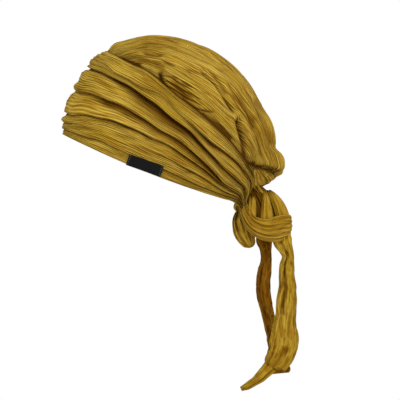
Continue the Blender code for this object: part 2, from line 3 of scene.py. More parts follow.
import bpy
import numpy as np
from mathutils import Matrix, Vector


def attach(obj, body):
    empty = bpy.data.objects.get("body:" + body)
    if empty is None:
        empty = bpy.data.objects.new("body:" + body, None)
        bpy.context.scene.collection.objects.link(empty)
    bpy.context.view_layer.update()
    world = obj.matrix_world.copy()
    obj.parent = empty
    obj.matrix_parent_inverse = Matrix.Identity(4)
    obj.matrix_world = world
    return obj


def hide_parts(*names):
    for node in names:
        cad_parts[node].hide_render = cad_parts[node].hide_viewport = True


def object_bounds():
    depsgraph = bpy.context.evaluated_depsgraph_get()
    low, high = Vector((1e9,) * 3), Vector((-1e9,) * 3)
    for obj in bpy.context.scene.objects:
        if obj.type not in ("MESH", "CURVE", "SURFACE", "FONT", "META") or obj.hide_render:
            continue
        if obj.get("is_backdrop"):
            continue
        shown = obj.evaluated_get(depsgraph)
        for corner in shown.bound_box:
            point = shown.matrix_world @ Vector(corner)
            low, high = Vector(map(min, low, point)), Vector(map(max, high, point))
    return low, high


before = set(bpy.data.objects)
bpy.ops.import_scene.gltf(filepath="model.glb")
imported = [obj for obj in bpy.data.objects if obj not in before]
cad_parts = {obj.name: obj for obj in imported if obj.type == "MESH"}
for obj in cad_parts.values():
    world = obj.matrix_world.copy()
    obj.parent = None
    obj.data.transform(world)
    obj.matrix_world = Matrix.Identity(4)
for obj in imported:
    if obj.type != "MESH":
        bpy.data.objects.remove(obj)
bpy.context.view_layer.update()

# The band, a wide strip of crinkled cotton gauze, ruched round the rim and drawn into the knot at both ends.
# Its soft folds hang over each other above a narrow hem and close up towards the nape. It is laid over a
# rounded form with the cap's own outline. Lengths are in millimetres up to lay_cloth.
MM = 0.001
FORM_MIDDLE = np.array([0.0, 17.4, 38.2])
FORM_HALF_WIDTH = 79.0
FORM_POWER = 2.3

# The outline from the side: its radius at each angle up from straight back.
FORM_ANGLE = (-180, -135, -90, -60, -45, -28, -8, 3, 18, 36, 55, 70, 90, 102, 114, 126, 140, 156, 170, 180)
FORM_RADIUS = (110.5, 109.0, 110.0, 113.5, 117.0, 118.6, 121.4, 117.7, 109.0, 106.4,
               104.3, 104.6, 106.2, 108.8, 110.0, 115.0, 112.9, 111.7, 112.2, 110.5)


def through(at, values, where):
    """The smooth curve through the given values, read at one place or many."""
    at, values, where = np.asarray(at, float), np.asarray(values, float), np.asarray(where, float)
    slopes = np.gradient(values, at, axis=0)
    left = np.clip(np.searchsorted(at, where) - 1, 0, len(at) - 2)
    step = at[left + 1] - at[left]
    t = np.clip((where - at[left]) / step, 0.0, 1.0)
    if values.ndim > 1:
        t, step = t[..., None], step[..., None]
    rise = t * t * (3 - 2 * t)
    start = values[left] * (1 - rise) + values[left + 1] * rise
    return start + step * t * (1 - t) * (slopes[left] * (1 - t) - slopes[left + 1] * t)


def soft_step(t):
    t = np.clip(t, 0.0, 1.0)
    return t * t * (3 - 2 * t)


def form_radius(angle):
    return through(FORM_ANGLE, FORM_RADIUS, (np.asarray(angle, float) + 180.0) % 360.0 - 180.0)


def form_level(points):
    """1 on the form, less inside it and more outside it."""
    ray = points - FORM_MIDDLE
    angle = np.degrees(np.arctan2(ray[..., 2], ray[..., 1]))
    along = np.hypot(ray[..., 1], ray[..., 2]) / form_radius(angle)
    return ((np.abs(ray[..., 0]) / FORM_HALF_WIDTH) ** FORM_POWER + along**FORM_POWER) ** (1 / FORM_POWER)


def onto_form(points):
    return FORM_MIDDLE + (points - FORM_MIDDLE) / form_level(points)[..., None]


def off_form(points):
    """The way straight out of the form at each point."""
    slope = np.empty_like(points)
    for k in range(3):
        shift = np.zeros(3)
        shift[k] = 0.5
        slope[..., k] = form_level(points + shift) - form_level(points - shift)
    return slope / np.linalg.norm(slope, axis=-1, keepdims=True)


def on_outline(angle):
    turn = np.radians(angle)
    radius = form_radius(angle)
    return FORM_MIDDLE + np.array([0.0, radius * np.cos(turn), radius * np.sin(turn)])


def from_side(y, z):
    """The point of the form's near side that shows at y, z from the side."""
    dy, dz = np.asarray(y, float) - FORM_MIDDLE[1], np.asarray(z, float) - FORM_MIDDLE[2]
    share = np.hypot(dy, dz) / form_radius(np.degrees(np.arctan2(dz, dy)))
    x = FORM_HALF_WIDTH * np.clip(1.0 - share**FORM_POWER, 0.0, 1.0) ** (1 / FORM_POWER)
    return np.stack([x, dy + FORM_MIDDLE[1], dz + FORM_MIDDLE[2]], axis=-1)


def way_along(points):
    """How far along their path each of the points lies."""
    return np.concatenate([[0.0], np.cumsum(np.linalg.norm(np.diff(points, axis=0), axis=1))])


def even_lengths(points, count):
    along = way_along(points)
    wanted = np.linspace(0.0, along[-1], count)
    return np.stack([np.interp(wanted, along, points[:, k]) for k in range(points.shape[1])], axis=1)


EDGE_STOPS, EDGE_POINTS = 13, 500


def edge_to_knot(side_line, ends):
    """An edge of the band, which follows the form and then leaves it for the knot."""
    stops = np.vstack([even_lengths(side_line, EDGE_STOPS), ends])
    along = way_along(stops)
    line = through(along, stops, np.linspace(0.0, along[-1], EDGE_POINTS))
    line[0, 0] = 0.0
    return line


# The rim runs from the brow to the nape with a little sag, and the upper edge by way of TOP_Y and TOP_Z. Both
# then leave the form for the knot, by way of their ends.
RIM_BROW_ANGLE, RIM_NAPE_Y, RIM_NAPE_Z, RIM_SAG = 181.0, 92.7, -37.1, 4.7
RIM_ENDS = [(30.0, 98.5, -42.5), (21.0, 103.0, -48.5), (17.0, 108.0, -52.0)]
TOP_BROW_ANGLE = 125.5
TOP_ENDS = [(26.5, 113.8, -19.5), (21.5, 107.8, -29.5), (17.0, 106.8, -42.5)]
SIDE_POINTS = 400

brow = on_outline(RIM_BROW_ANGLE)
share = np.linspace(0.0, 1.0, SIDE_POINTS) ** 2
rim_y = brow[1] + share * (RIM_NAPE_Y - brow[1])
rim_z = brow[2] + share * (RIM_NAPE_Z - brow[2]) - RIM_SAG * 4 * share * (1 - share)
RIM = edge_to_knot(from_side(rim_y, rim_z), RIM_ENDS)

crest = on_outline(TOP_BROW_ANGLE)
TOP_Y = (crest[1], -37.1, -19.1, 4.4, 18.5, 33.8, 55.6, 73.0, 91.6, 107.0, 115.6)
TOP_Z = (crest[2], 124.8, 115.0, 103.0, 89.6, 76.3, 59.8, 45.0, 26.3, 4.4, -13.5)
share = np.linspace(0.0, 1.0, SIDE_POINTS) ** 1.5
top_side = through(np.linspace(0.0, 1.0, len(TOP_Y)), np.column_stack([TOP_Y, TOP_Z]), share)
TOP = edge_to_knot(from_side(top_side[:, 0], top_side[:, 1]), TOP_ENDS)
LEAVES_FORM_AT, LEAVES_FORM_OVER = 0.82, 0.14
END_BOW = 8


def band_base(share, height):
    """The band without its folds, at a share of the way to its end and of its width above the rim."""
    dense = np.linspace(0.0, 1.0, EDGE_POINTS)
    rim = np.stack([np.interp(share, dense, RIM[:, k]) for k in range(3)], axis=-1)
    top = np.stack([np.interp(share, dense, TOP[:, k]) for k in range(3)], axis=-1)
    flat = rim + (top - rim) * height[..., None]
    bow = (END_BOW * height * (1 - height))[..., None] * np.array([1.0, 1.0, 0.0])
    leave = soft_step((share - LEAVES_FORM_AT) / LEAVES_FORM_OVER)[..., None]
    return onto_form(flat) * (1 - leave) + (flat + bow) * leave


def scatter(i, j, seed):
    """A steady random number from 0 to 1 for each pair of whole numbers."""
    n = (i * 374761393 + j * 668265263 + seed * 974711) & 0x7FFFFFFF
    n = ((n ^ (n >> 13)) * 1274126177) & 0x7FFFFFFF
    return ((n ^ (n >> 16)) & 0xFFFF) / 65535.0


def ripple(u, v, seed):
    """Smooth, steady unevenness from -1 to 1, a new value for each unit of u and v."""
    i, j = np.floor(u).astype(np.int64), np.floor(v).astype(np.int64)
    a, b = soft_step(u - i), soft_step(v - j)
    low = scatter(i, j, seed) * (1 - a) + scatter(i + 1, j, seed) * a
    high = scatter(i, j + 1, seed) * (1 - a) + scatter(i + 1, j + 1, seed) * a
    return 2 * (low * (1 - b) + high * b) - 1


GROOVE_HEIGHT, GROOVE_APART, GROOVE_RUN, GROOVE_SHARE = 0.60, 1.6, 27, 0.45
BROAD_HEIGHT, BROAD_APART, BROAD_RUN = 0.65, 4.6, 38


def crinkle(along, across, seed):
    """The gauze's own crinkle, narrow grooves that wander along the cloth, on broader waves: its height in
    millimetres, and how far into a groove each point lies."""
    wander = across + 2.4 * ripple(along / 46, across / 16, seed + 1)
    wander = wander + 0.9 * ripple(along / 17, across / 7, seed + 2)
    groove = np.abs(ripple(along / GROOVE_RUN, wander / GROOVE_APART, seed + 3))
    groove = np.clip(1 - groove / GROOVE_SHARE, 0.0, 1.0)
    groove = groove * np.clip(0.70 + 0.70 * ripple(along / 31, across / 10, seed + 6), 0.0, 1.3)
    broad = ripple(along / BROAD_RUN, wander / BROAD_APART, seed + 4)
    return BROAD_HEIGHT * broad - GROOVE_HEIGHT * groove, groove


def pick(*pieces):
    """Selects these pieces alone, the first one active."""
    bpy.ops.object.select_all(action="DESELECT")
    for piece in pieces:
        piece.select_set(True)
    bpy.context.view_layer.objects.active = pieces[0]


def lay_cloth(name, cloth, grid, along, across, painted_shade, wall=0.8):
    """A sheet of cloth through a grid of points. Its UV map is the cloth laid flat, and a point attribute
    holds its painted shade: how dark each point is painted, down in the folds, where shade falls."""
    rows, count = grid.shape[:2]
    first = (np.arange(rows - 1) * count)[:, None] + np.arange(count - 1)
    quads = np.stack([first, first + count, first + count + 1, first + 1], axis=-1)
    mesh = bpy.data.meshes.new(name)
    mesh.from_pydata((grid.reshape(-1, 3) * MM).tolist(), [], quads.reshape(-1, 4).tolist())
    mesh.update()
    flat = np.stack([along, across], axis=-1) * MM
    uv = np.stack([flat[:-1, :-1], flat[1:, :-1], flat[1:, 1:], flat[:-1, 1:]], axis=2)
    layer = mesh.uv_layers.new(name="cloth")
    layer.data.foreach_set("uv", uv.astype(np.float32).ravel())
    # The painted shade, which the material mixes into the colour as shade in the folds.
    depth = mesh.attributes.new("painted_shade", "FLOAT", "POINT")
    depth.data.foreach_set("value", np.clip(painted_shade, 0.0, 1.0).astype(np.float32).ravel())
    piece = bpy.data.objects.new(name, mesh)
    bpy.context.scene.collection.objects.link(piece)
    pick(piece)
    thick = piece.modifiers.new("wall", "SOLIDIFY")
    thick.thickness = wall * MM
    thick.offset = -1.0
    thick.thickness_clamp = 1.0
    bpy.ops.object.modifier_apply(modifier=thick.name)
    bpy.ops.object.shade_smooth()
    piece.data.materials.append(cloth)
    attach(piece, "root")
    return piece


# How far apart the ribs lie, how dark the painted shade between them is, and how far a streak runs; then the
# colours the painted shade darkens towards in the streaks, between ribs, between threads and on ribs in the
# folds.
RIB_PITCH, RIB_SHADE_STRENGTH, STREAK_RUN = 0.0026, 0.85, 0.036
WEAVE_SCALE = 1450 / math.pi / 2
STREAK_SHADE = (0.55, 0.39, 0.18, 1.0)
RIB_SHADE = (0.46, 0.30, 0.10, 1.0)
WEAVE_SHADE = (0.7, 0.6, 0.45, 1.0)
DEEP_RIB_SHADE = (0.40, 0.34, 0.30, 1.0)


def fill(made, sockets):
    """Gives each named or numbered input of a node its value, or links it to the output of another node."""
    for place, value in sockets.items():
        if isinstance(value, bpy.types.NodeSocket):
            made.id_data.links.new(value, made.inputs[place])
        else:
            made.inputs[place].default_value = value
    return made


def node(tree, kind, sockets, **settings):
    made = tree.nodes.new("ShaderNode" + kind)
    for setting, value in settings.items():
        setattr(made, setting, value)
    return fill(made, sockets)


def reckon(tree, kind, *values):
    return node(tree, "Math", dict(enumerate(values)), operation=kind).outputs[0]


def gauze(name, lit, painted_fold_shade, rib_pitch=RIB_PITCH, rib_shade_strength=RIB_SHADE_STRENGTH, streak_run=STREAK_RUN):
    """Crinkled cotton gauze in an open plain weave, with fine ribs along the cloth, and painted shade down in
    the folds, after the mesh's shade attribute. Lengths are in metres."""
    cloth = bpy.data.materials.new(name)
    cloth.use_nodes = True
    tree = cloth.node_tree
    laid_flat = node(tree, "UVMap", {}, uv_map="cloth").outputs["UV"]

    def noise(scale, detail, roughness, distortion):
        turned = node(tree, "Mapping", {"Vector": laid_flat, "Scale": scale}).outputs["Vector"]
        return node(tree, "TexNoise", {"Vector": turned, "Scale": 1.0, "Detail": detail,
                                       "Roughness": roughness, "Distortion": distortion}).outputs["Fac"]

    def threads(direction):
        return node(tree, "TexWave", {"Vector": laid_flat, "Scale": WEAVE_SCALE, "Distortion": 1.6,
                                      "Detail": 1.0, "Detail Scale": 2.0},
                    bands_direction=direction).outputs["Fac"]

    def blend(kind, amount, first, second):
        return node(tree, "Mix", {0: amount, 6: first, 7: second},
                    data_type="RGBA", blend_type=kind).outputs[2]

    def span(value, low, high, to_low, to_high):
        return node(tree, "MapRange", {0: value, 1: low, 2: high, 3: to_low, 4: to_high}).outputs[0]

    # The relief of the cloth: streaks and ribs along it, and its threads both ways.
    streaks = noise((1 / streak_run, 480.0, 1.0), detail=2.5, roughness=0.62, distortion=0.3)
    weave = reckon(tree, "MULTIPLY", threads("X"), threads("Y"))
    lengthways = node(tree, "Mapping", {"Vector": laid_flat, "Scale": (0.30, 1.0, 1.0)}).outputs["Vector"]
    ribs = node(tree, "TexWave", {"Vector": lengthways, "Scale": math.pi / 10 / rib_pitch, "Distortion": 7.0,
                                  "Detail": 2.0, "Detail Scale": 0.5}, bands_direction="Y").outputs["Fac"]

    # The colour: pale and dull patches, with painted shade in the streaks, between ribs and threads, and down
    # in the folds.
    patches = noise((14.0, 55.0, 1.0), detail=2.0, roughness=0.5, distortion=0.2)
    pale = (lit[0] * 1.12, lit[1] * 1.16, lit[2] * 1.8, 1.0)
    dull = (lit[0] * 0.86, lit[1] * 0.80, lit[2] * 0.6, 1.0)
    colour = blend("MIX", span(patches, 0.3, 0.7, 0.0, 1.0), dull, pale)
    colour = blend("MULTIPLY", span(streaks, 0.38, 0.54, 0.85, 0.0), colour, STREAK_SHADE)
    crowds = noise((22.0, 75.0, 1.0), detail=1.0, roughness=0.5, distortion=0.4)
    crowded = span(crowds, 0.36, 0.62, 0.45, 1.15)
    rib_shade = reckon(tree, "MULTIPLY", span(ribs, 0.08, 0.55, rib_shade_strength, 0.0), crowded)
    colour = blend("MULTIPLY", rib_shade, colour, RIB_SHADE)
    colour = blend("MULTIPLY", span(weave, 0.0, 0.35, 0.22, 0.0), colour, WEAVE_SHADE)
    # The colour of the painted shade down in the folds, with the ribs still showing in it.
    painted_fold_colour = (painted_fold_shade[0] * 1.45, painted_fold_shade[1] * 1.55, painted_fold_shade[2] * 1.5, 1.0)
    shaded = blend("MULTIPLY", rib_shade, painted_fold_colour, DEEP_RIB_SHADE)
    painted_shade = node(tree, "Attribute", {}, attribute_name="painted_shade").outputs["Fac"]
    colour = blend("MIX", span(painted_shade, 0.05, 0.90, 0.0, 1.0), colour, shaded)

    fine = node(tree, "Bump", {"Strength": 0.5, "Distance": 0.00012, "Height": weave}).outputs["Normal"]
    ridge_height = reckon(tree, "ADD", streaks, reckon(tree, "MULTIPLY", ribs, 0.30))
    ridges = node(tree, "Bump", {"Strength": 0.9, "Distance": 0.0030 * rib_pitch / RIB_PITCH,
                                 "Height": ridge_height, "Normal": fine}).outputs["Normal"]
    fill(tree.nodes["Principled BSDF"], {
        "Base Color": colour, "Normal": ridges, "Roughness": 0.93, "Specular IOR Level": 0.015,
        "Sheen Weight": 0.02, "Sheen Roughness": 0.55, "Sheen Tint": (1.0, 0.78, 0.35, 1.0)})
    return cloth


MUSTARD = gauze("mustard_gauze", lit=(0.390, 0.266, 0.031, 1.0), painted_fold_shade=(0.062, 0.022, 0.0006, 1.0))

# Each valley between two folds, from the rim up: its course seen from the side, y towards the nape and z up,
# its depth on the way, and the width of the shade under the fold that hangs over it.
BAND_VALLEYS = {
    "hem": (
        (-90.3, -77.2, -64.2, -52.8, -41.3, -10.9, 20.1, 51.8, 81.0),
        (41.2, 35.9, 31.2, 28.1, 22.8, 9.8, -3.9, -19.0, -29.8),
        (1.4, 2.2, 2.4, 2.2, 1.2, 0.8, 1.8, 2.0, 1.2),
        (1.0, 1.5, 2.0, 2.0, 1.0, 0.5, 1.5, 2.0, 1.5)),
    "side": (
        (-89.4, -53.4, -15.3, 18.4, 39.2, 60.2, 79.6),
        (49.1, 43.6, 28.3, 11.0, -0.7, -12.3, -25.1),
        (0.6, 0.5, 0.8, 3.2, 4.4, 3.6, 2.0),
        (0.5, 0.5, 0.5, 1.5, 3.0, 3.0, 2.5)),
    "low": (
        (-85.7, -69.5, -57.3, -41.3, -25.9, -10.7, 4.6, 17.4, 41.0, 61.0, 79.4),
        (57.2, 56.9, 53.4, 50.4, 44.3, 38.2, 31.2, 25.8, 10.2, -4.4, -19.0),
        (4.6, 5.0, 4.4, 4.6, 5.2, 5.4, 5.0, 3.6, 3.2, 4.4, 3.0),
        (1.0, 1.5, 2.5, 4.0, 4.0, 3.0, 2.5, 2.5, 3.0, 4.0, 3.0)),
    "middle": (
        (-77.9, -66.5, -56.7, -45.1, -29.8, -18.3, -3.1, 8.5,
         17.4, 31.0, 41.0, 51.8, 62.7, 72.6, 81.0, 89.4),
        (82.5, 81.0, 75.6, 69.4, 63.3, 57.2, 48.8, 42.0,
         37.7, 28.6, 20.3, 11.0, 1.1, -9.8, -19.0, -26.5),
        (3.6, 4.0, 5.2, 5.6, 5.6, 6.0, 5.2, 4.6, 5.4, 6.2, 6.4, 6.6, 6.2, 5.4, 4.6, 3.0),
        (1.0, 2.0, 3.8, 5.8, 6.4, 6.2, 5.0, 4.2, 3.6, 3.6, 3.8, 4.0, 4.0, 4.0, 3.6, 3.0)),
    "high": (
        (-62.7, -53.5, -44.4, -36.0, -25.9, -10.7, 4.6, 18.4, 31.0, 43.5, 51.8, 62.7, 72.6, 79.4),
        (108.5, 105.1, 100.1, 95.5, 87.9, 77.2, 65.6, 55.3, 46.9, 37.7, 29.4, 17.8, 7.7, -0.7),
        (5.0, 6.0, 6.6, 7.4, 8.4, 9.4, 10.0, 10.2, 9.6, 9.4, 8.8, 7.6, 6.0, 4.6),
        (0.8, 1.5, 2.5, 4.5, 7.5, 10.0, 11.0, 10.5, 9.0, 6.5, 5.0, 4.0, 3.6, 3.0)),
    "upper": (
        (-46.3, -29.1, -11.7, -3.3, 6.5, 16.1, 29.4, 43.5, 55.9, 68.5, 81.0, 99.2),
        (112.3, 96.6, 91.0, 86.9, 84.0, 79.2, 65.4, 48.6, 36.1, 24.4, 16.9, 2.7),
        (0.2, 1.4, 1.8, 1.8, 1.4, 0.8, 0.6, 3.0, 4.4, 4.6, 3.4, 2.6),
        (0.5, 0.5, 0.8, 0.8, 0.5, 0.5, 0.5, 2.0, 3.5, 4.0, 3.0, 2.5)),
    "strip": (
        (-48.5, -36.0, -15.3, 7.6, 20.7, 36.0, 53.4),
        (124.3, 120.4, 109.5, 95.9, 84.5, 74.1, 58.3),
        (0.6, 1.0, 2.2, 2.4, 1.2, 0.8, 0.4),
        (0.4, 0.6, 1.0, 1.0, 0.8, 0.6, 0.4)),
}
BAND_STATIONS, BAND_LINES = 130, 182
BAND_LENGTH, BAND_WIDTH = 280.0, 150.0
RIM_DEPTH, TOP_DEPTH, EDGE_SHADE = 1.6, 2.2, 0.5
LEAST_FOLD, LEAST_STRIP = 0.035, 0.03
LIP, LIP_AT, STEEP_OVER = 0.30, 0.10, 0.20
OUTER_SHADE, INNER_SHADE = 0.40, 0.60

# Each valley's height in the band at each station, found from its course on the near side.
search_share, search_height = np.meshgrid(np.linspace(0, 1, 320), np.linspace(0, 1, 160), indexing="ij")
search = band_base(search_share, search_height)
stations = np.linspace(0.0, 1.0, BAND_STATIONS + 1)
rim_line, top_line = band_base(stations, np.zeros_like(stations)), band_base(stations, np.ones_like(stations))
width = np.linalg.norm(top_line - rim_line, axis=1)
valley_height, valley_depth = [np.zeros_like(stations)], [np.full_like(stations, RIM_DEPTH)]
valley_shade = [np.full_like(stations, EDGE_SHADE)]
for ys, zs, depths, shades in BAND_VALLEYS.values():
    found = []
    for y, z in zip(ys, zs):
        away = np.hypot(search[..., 1] - y, search[..., 2] - z) + np.where(search[..., 0] < 0.0, 1e3, 0.0)
        found.append(np.unravel_index(np.argmin(away), away.shape))
    at = np.maximum.accumulate([search_share[f] for f in found]) + np.arange(len(found)) * 1e-4
    heights = np.interp(stations, at, [search_height[f] for f in found])
    window = np.hanning(9) / np.hanning(9).sum()
    heights = np.convolve(np.pad(heights, 4, mode="edge"), window, mode="valid")
    depth = through(at, depths, stations) * np.clip((1.06 - stations) / 0.16, 0.3, 1.0)
    shade = through(at, shades, stations)
    heights = heights + (0.5 * shade + 0.8 * LIP * depth) / width * np.clip((0.95 - stations) / 0.1, 0.0, 1.0)
    valley_height.append(np.maximum(heights, valley_height[-1] + LEAST_FOLD))
    valley_depth.append(depth)
    valley_shade.append(shade)
valley_height.append(np.maximum(np.ones_like(stations), valley_height[-1] + LEAST_STRIP))
valley_depth.append(np.full_like(stations, TOP_DEPTH))
valley_shade.append(np.full_like(stations, EDGE_SHADE))
valley_height = np.array(valley_height) / valley_height[-1]
valley_depth, valley_shade = np.array(valley_depth), np.array(valley_shade)

# The section of the folds. Each rises steeply out of the valley below it, sinks gently into the one above and
# hangs over its lower valley by its lip. Where the cloth goes in under the next fold, shade is painted into
# it.
line = np.linspace(0.0, 1.0, BAND_LINES + 1)
stops = valley_height.mean(axis=1)
fold = np.clip(np.searchsorted(stops, line, side="right") - 1, 0, len(stops) - 2)
t = ((line - stops[fold]) / (stops[fold + 1] - stops[fold]))[None, :]
low, high = valley_height[fold].T, valley_height[fold + 1].T
low_depth, high_depth = valley_depth[fold].T, valley_depth[fold + 1].T
lip = LIP * low_depth * (t / LIP_AT) * np.exp(1 - t / LIP_AT) / width[:, None]
lip[:, fold == 0] = 0.0
heights = low + (high - low) * t - lip
steep = 1 - np.sqrt(np.clip(1 - (1 - np.clip(t / STEEP_OVER, 0.0, 1.0)) ** 2, 0.0, 1.0))
below = (1 - t) * (high - low) * width[:, None]
shade = valley_shade[fold + 1].T
gentle = soft_step(1 - below / (1.5 * shade + 5.0)) * soft_step(t / 0.4)
inset = low_depth * steep + high_depth * gentle
under = below - LIP * high_depth
painted_shade_under_fold = OUTER_SHADE * (1 - soft_step((under - 0.20 * shade) / (0.5 * shade + 0.5)))
painted_shade_under_fold = painted_shade_under_fold + INNER_SHADE * (1 - soft_step((under - 0.60 * shade) / (0.6 * shade + 0.5)))
painted_shade_under_fold = painted_shade_under_fold * np.clip(shade / 6.0, 0.35, 1.0)


LABEL_Y, LABEL_Z = -3.7, 3.5
CLOTH_SETBACK = 0.9
BROW_PUFF, BROW_REACH = 2.0, 0.14
GATHERS_ACROSS, GATHER_HEIGHT = 66.0, 1.1
DEEPEST_STEP = 8.5


def band_side(side):
    """One side of the band, from brow to knot, 1 the near one and -1 the far one. It has small pleats, which
    close up into gathers towards the knot, and lies flat under the label."""
    where, across = np.meshgrid(stations, line * BAND_WIDTH, indexing="ij")
    base = band_base(where, heights)
    along = where * BAND_LENGTH
    mirrored = along * side
    pleats = 1.25 * ripple(mirrored / 48, across / 8.5, 3) + 0.7 * ripple(mirrored / 30, across / 4.4, 8)
    calm = np.clip(1.15 - where, 0.45, 1.0)
    tight = soft_step((where - 0.58) / 0.30) * (1 - 0.5 * soft_step((where - 0.94) / 0.06))
    gather = np.abs(np.sin(line[None, :] * GATHERS_ACROSS + 1.1 * ripple(mirrored / 30, across / 9.0, 23)))
    under_label = 0.0
    if side > 0:
        under_label = np.exp(-(((base[..., 1] - LABEL_Y) / 22) ** 4 + ((base[..., 2] - LABEL_Z) / 12) ** 4))
    height, groove = crinkle(mirrored, across, 11)
    small = (pleats + height) * calm * (1 - 0.85 * under_label) + (gather - 0.6) * GATHER_HEIGHT * tight
    edge = np.minimum(line, 1 - line)[None, :] * BAND_WIDTH
    small = small * soft_step(edge / 3.0 + 0.35)
    depth = inset if side > 0 else inset * 0.9 + 0.6 * ripple(along / 60, across / 20, 77)
    puff = BROW_PUFF * np.exp(-((where / BROW_REACH) ** 2)) * soft_step(edge / 6.0)
    puff = puff * (1 - 1.3 * line[None, :] ** 2)
    grid = base - off_form(base) * (depth + CLOTH_SETBACK - small - puff)[..., None]
    grid[0, :, 0] = 0.0
    grid[..., 0] *= side
    # Painted shade: in the steep step at the foot of each fold, under the fold that hangs over it, between
    # the gathers and in the crinkle's grooves, and more of it low on the band, where the cloth turns under;
    # raised cloth is a little lighter.
    painted_step_shade = np.clip(low_depth * steep / DEEPEST_STEP, 0, 1) ** 1.3 * 0.9
    in_shade = painted_shade_under_fold * (0.92 + 0.16 * ripple(along / 50, across / 3.0, 19))
    painted_shade = np.maximum(painted_step_shade, in_shade) + (0.55 - gather) * 0.5 * tight
    painted_low_shade = soft_step((62.0 - base[..., 2]) / 36.0) * soft_step((base[..., 1] + 70.0) / 60.0)
    painted_shade = painted_shade - 0.08 * small + 0.30 * groove + 0.20 * painted_low_shade
    return grid, mirrored, across, painted_shade


near, far = band_side(1), band_side(-1)
joined = [np.concatenate([b[:0:-1], a]) for a, b in zip(near, far)]
band = lay_cloth("band_cloth", MUSTARD, *joined)
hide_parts("band")

# The crown, a full bag of the same gauze gathered into the band's top edge. It is soft and slouchy, creased
# fore and aft, with a deep pouch behind the knot's end of the seam and a rolled gather at the nape.
CROWN_STATIONS, CROWN_LINES = 136, 340
CROWN_LENGTH, CROWN_WIDTH = 250.0, 300.0
FIRST_CREST, CREST_TURN = 129.0, 164.0
FEET_START, FEET_REACH, FEET_HEIGHT = 0.13, 0.82, 0.92
SEAM_DROP, SEAM_REACH = 4.9, 15.0
ROLL_HALF_WIDTH = 46.0
FAN_Y, FAN_Z, FAN_PLEATS = 115.5, 8.7, 23.0
PLEAT_HEIGHT = 2.6
FAR_SHIFT = 7.0
SHOULDER_AT, SHOULDER_WIDTH, SHOULDER_HEIGHT = 2.1, 1.2, 0.28
CROWN_SETBACK = 0.7

# The rise of the roll at the nape over the form, by the angle up from straight back.
NAPE_ANGLE = (-35.5, -32.0, -29.0, -25.0, -21.5, -17.0, -13.0, -10.0, -8.0, -4.0, 0.0)
NAPE_RISE = (-13.0, -5.5, 0.0, 4.6, 9.4, 12.4, 11.4, 6.6, 0.0, -0.6, 0.0)

# Each crease: its course seen from the side, its depth and its half width.
CROWN_CREASES = {
    "long": ((58.2, 70.5, 78.3, 91.6), (103.9, 92.8, 81.6, 61.7), 3.6, 2.2),
    "long_b": ((66.0, 76.0, 83.0), (104.0, 93.0, 82.0), 2.0, 2.2),
    "pouch": ((97.2, 99.4, 105.0, 106.1, 109.4, 118.8, 129.5),
              (51.7, 38.3, 22.7, 9.4, 4.9, 1.6, -0.7), 8.0, 3.3),
    "pocket": ((59.4, 74.1, 89.4), (59.4, 48.0, 33.8), 4.4, 2.8),
    "back_inner": ((87.2, 105.0, 113.9), (90.5, 65.0, 46.1), 2.6, 3.2),
    "back_outer": ((116.1, 127.2, 134.1), (71.6, 44.9, 29.4), 2.2, 3.2),
    "top": ((-5.5, 12.0, 30.0), (136.8, 137.7, 135.7), 1.4, 2.2),
    "patch": ((-3.3, 4.4, 12.6), (124.8, 123.2, 122.6), 3.2, 3.2),
    "patch_b": ((18.5, 22.0, 26.2), (116.1, 114.2, 111.7), 2.6, 2.4),
    "corner_a": ((-38.2, -22.9, -3.3), (125.4, 130.3, 133.0), 1.6, 2.2),
    "corner_b": ((-36.0, -18.5, 1.1, 15.3), (123.7, 122.1, 116.6, 109.0), 1.8, 2.2),
    "dip": ((13.4, 14.3, 15.6, 18.5), (103.6, 98.3, 94.1, 89.1), 8.0, 2.0),
    "slot": ((-34.0, -26.0, -18.5, -11.0), (124.0, 121.0, 117.5, 113.5), 4.5, 2.0),
    "pleat_a": ((18.0, 28.3, 34.1, 40.7, 48.2, 56.0), (97.4, 92.2, 87.7, 83.4, 79.6, 74.0), 3.0, 1.15),
    "pleat_b": ((16.0, 23.4, 27.6, 32.7, 38.5, 48.4), (101.4, 99.7, 97.0, 93.0, 89.2, 84.0), 2.4, 1.0),
    "pleat_c": ((26.0, 34.1, 37.8, 43.3, 52.0), (100.5, 96.4, 93.0, 89.6, 85.4), 2.0, 0.9),
    "pleat_d": ((18.5, 28.3, 35.6, 41.4, 49.2, 58.0), (91.4, 87.2, 81.6, 77.4, 73.6, 68.2), 3.0, 1.15),
    "pleat_e": ((36.0, 46.0, 56.0, 72.0), (77.0, 70.2, 64.4, 61.2), 2.8, 1.2),
    "pleat_f": ((22.0, 29.0, 35.0, 41.0, 50.0), (94.2, 90.2, 85.2, 80.6, 76.4), 1.8, 0.9),
}
AT_THE_SEAM = ("dip", "slot", "pleat_a", "pleat_b", "pleat_c", "pleat_d", "pleat_e", "pleat_f")


def away_from(points, path):
    """How far each point is from a path, and how far along the path, from 0 to 1, its nearest place lies."""
    best, share = np.full(points.shape[:-1], np.inf), np.zeros(points.shape[:-1])
    for number, (start, end) in enumerate(zip(path[:-1], path[1:])):
        way = end - start
        t = np.clip(np.sum((points - start) * way, axis=-1) / max(float(way @ way), 1e-9), 0.0, 1.0)
        reach = np.linalg.norm(points - start - t[..., None] * way, axis=-1)
        share = np.where(reach < best, (number + t) / (len(path) - 1), share)
        best = np.minimum(best, reach)
    return best, share


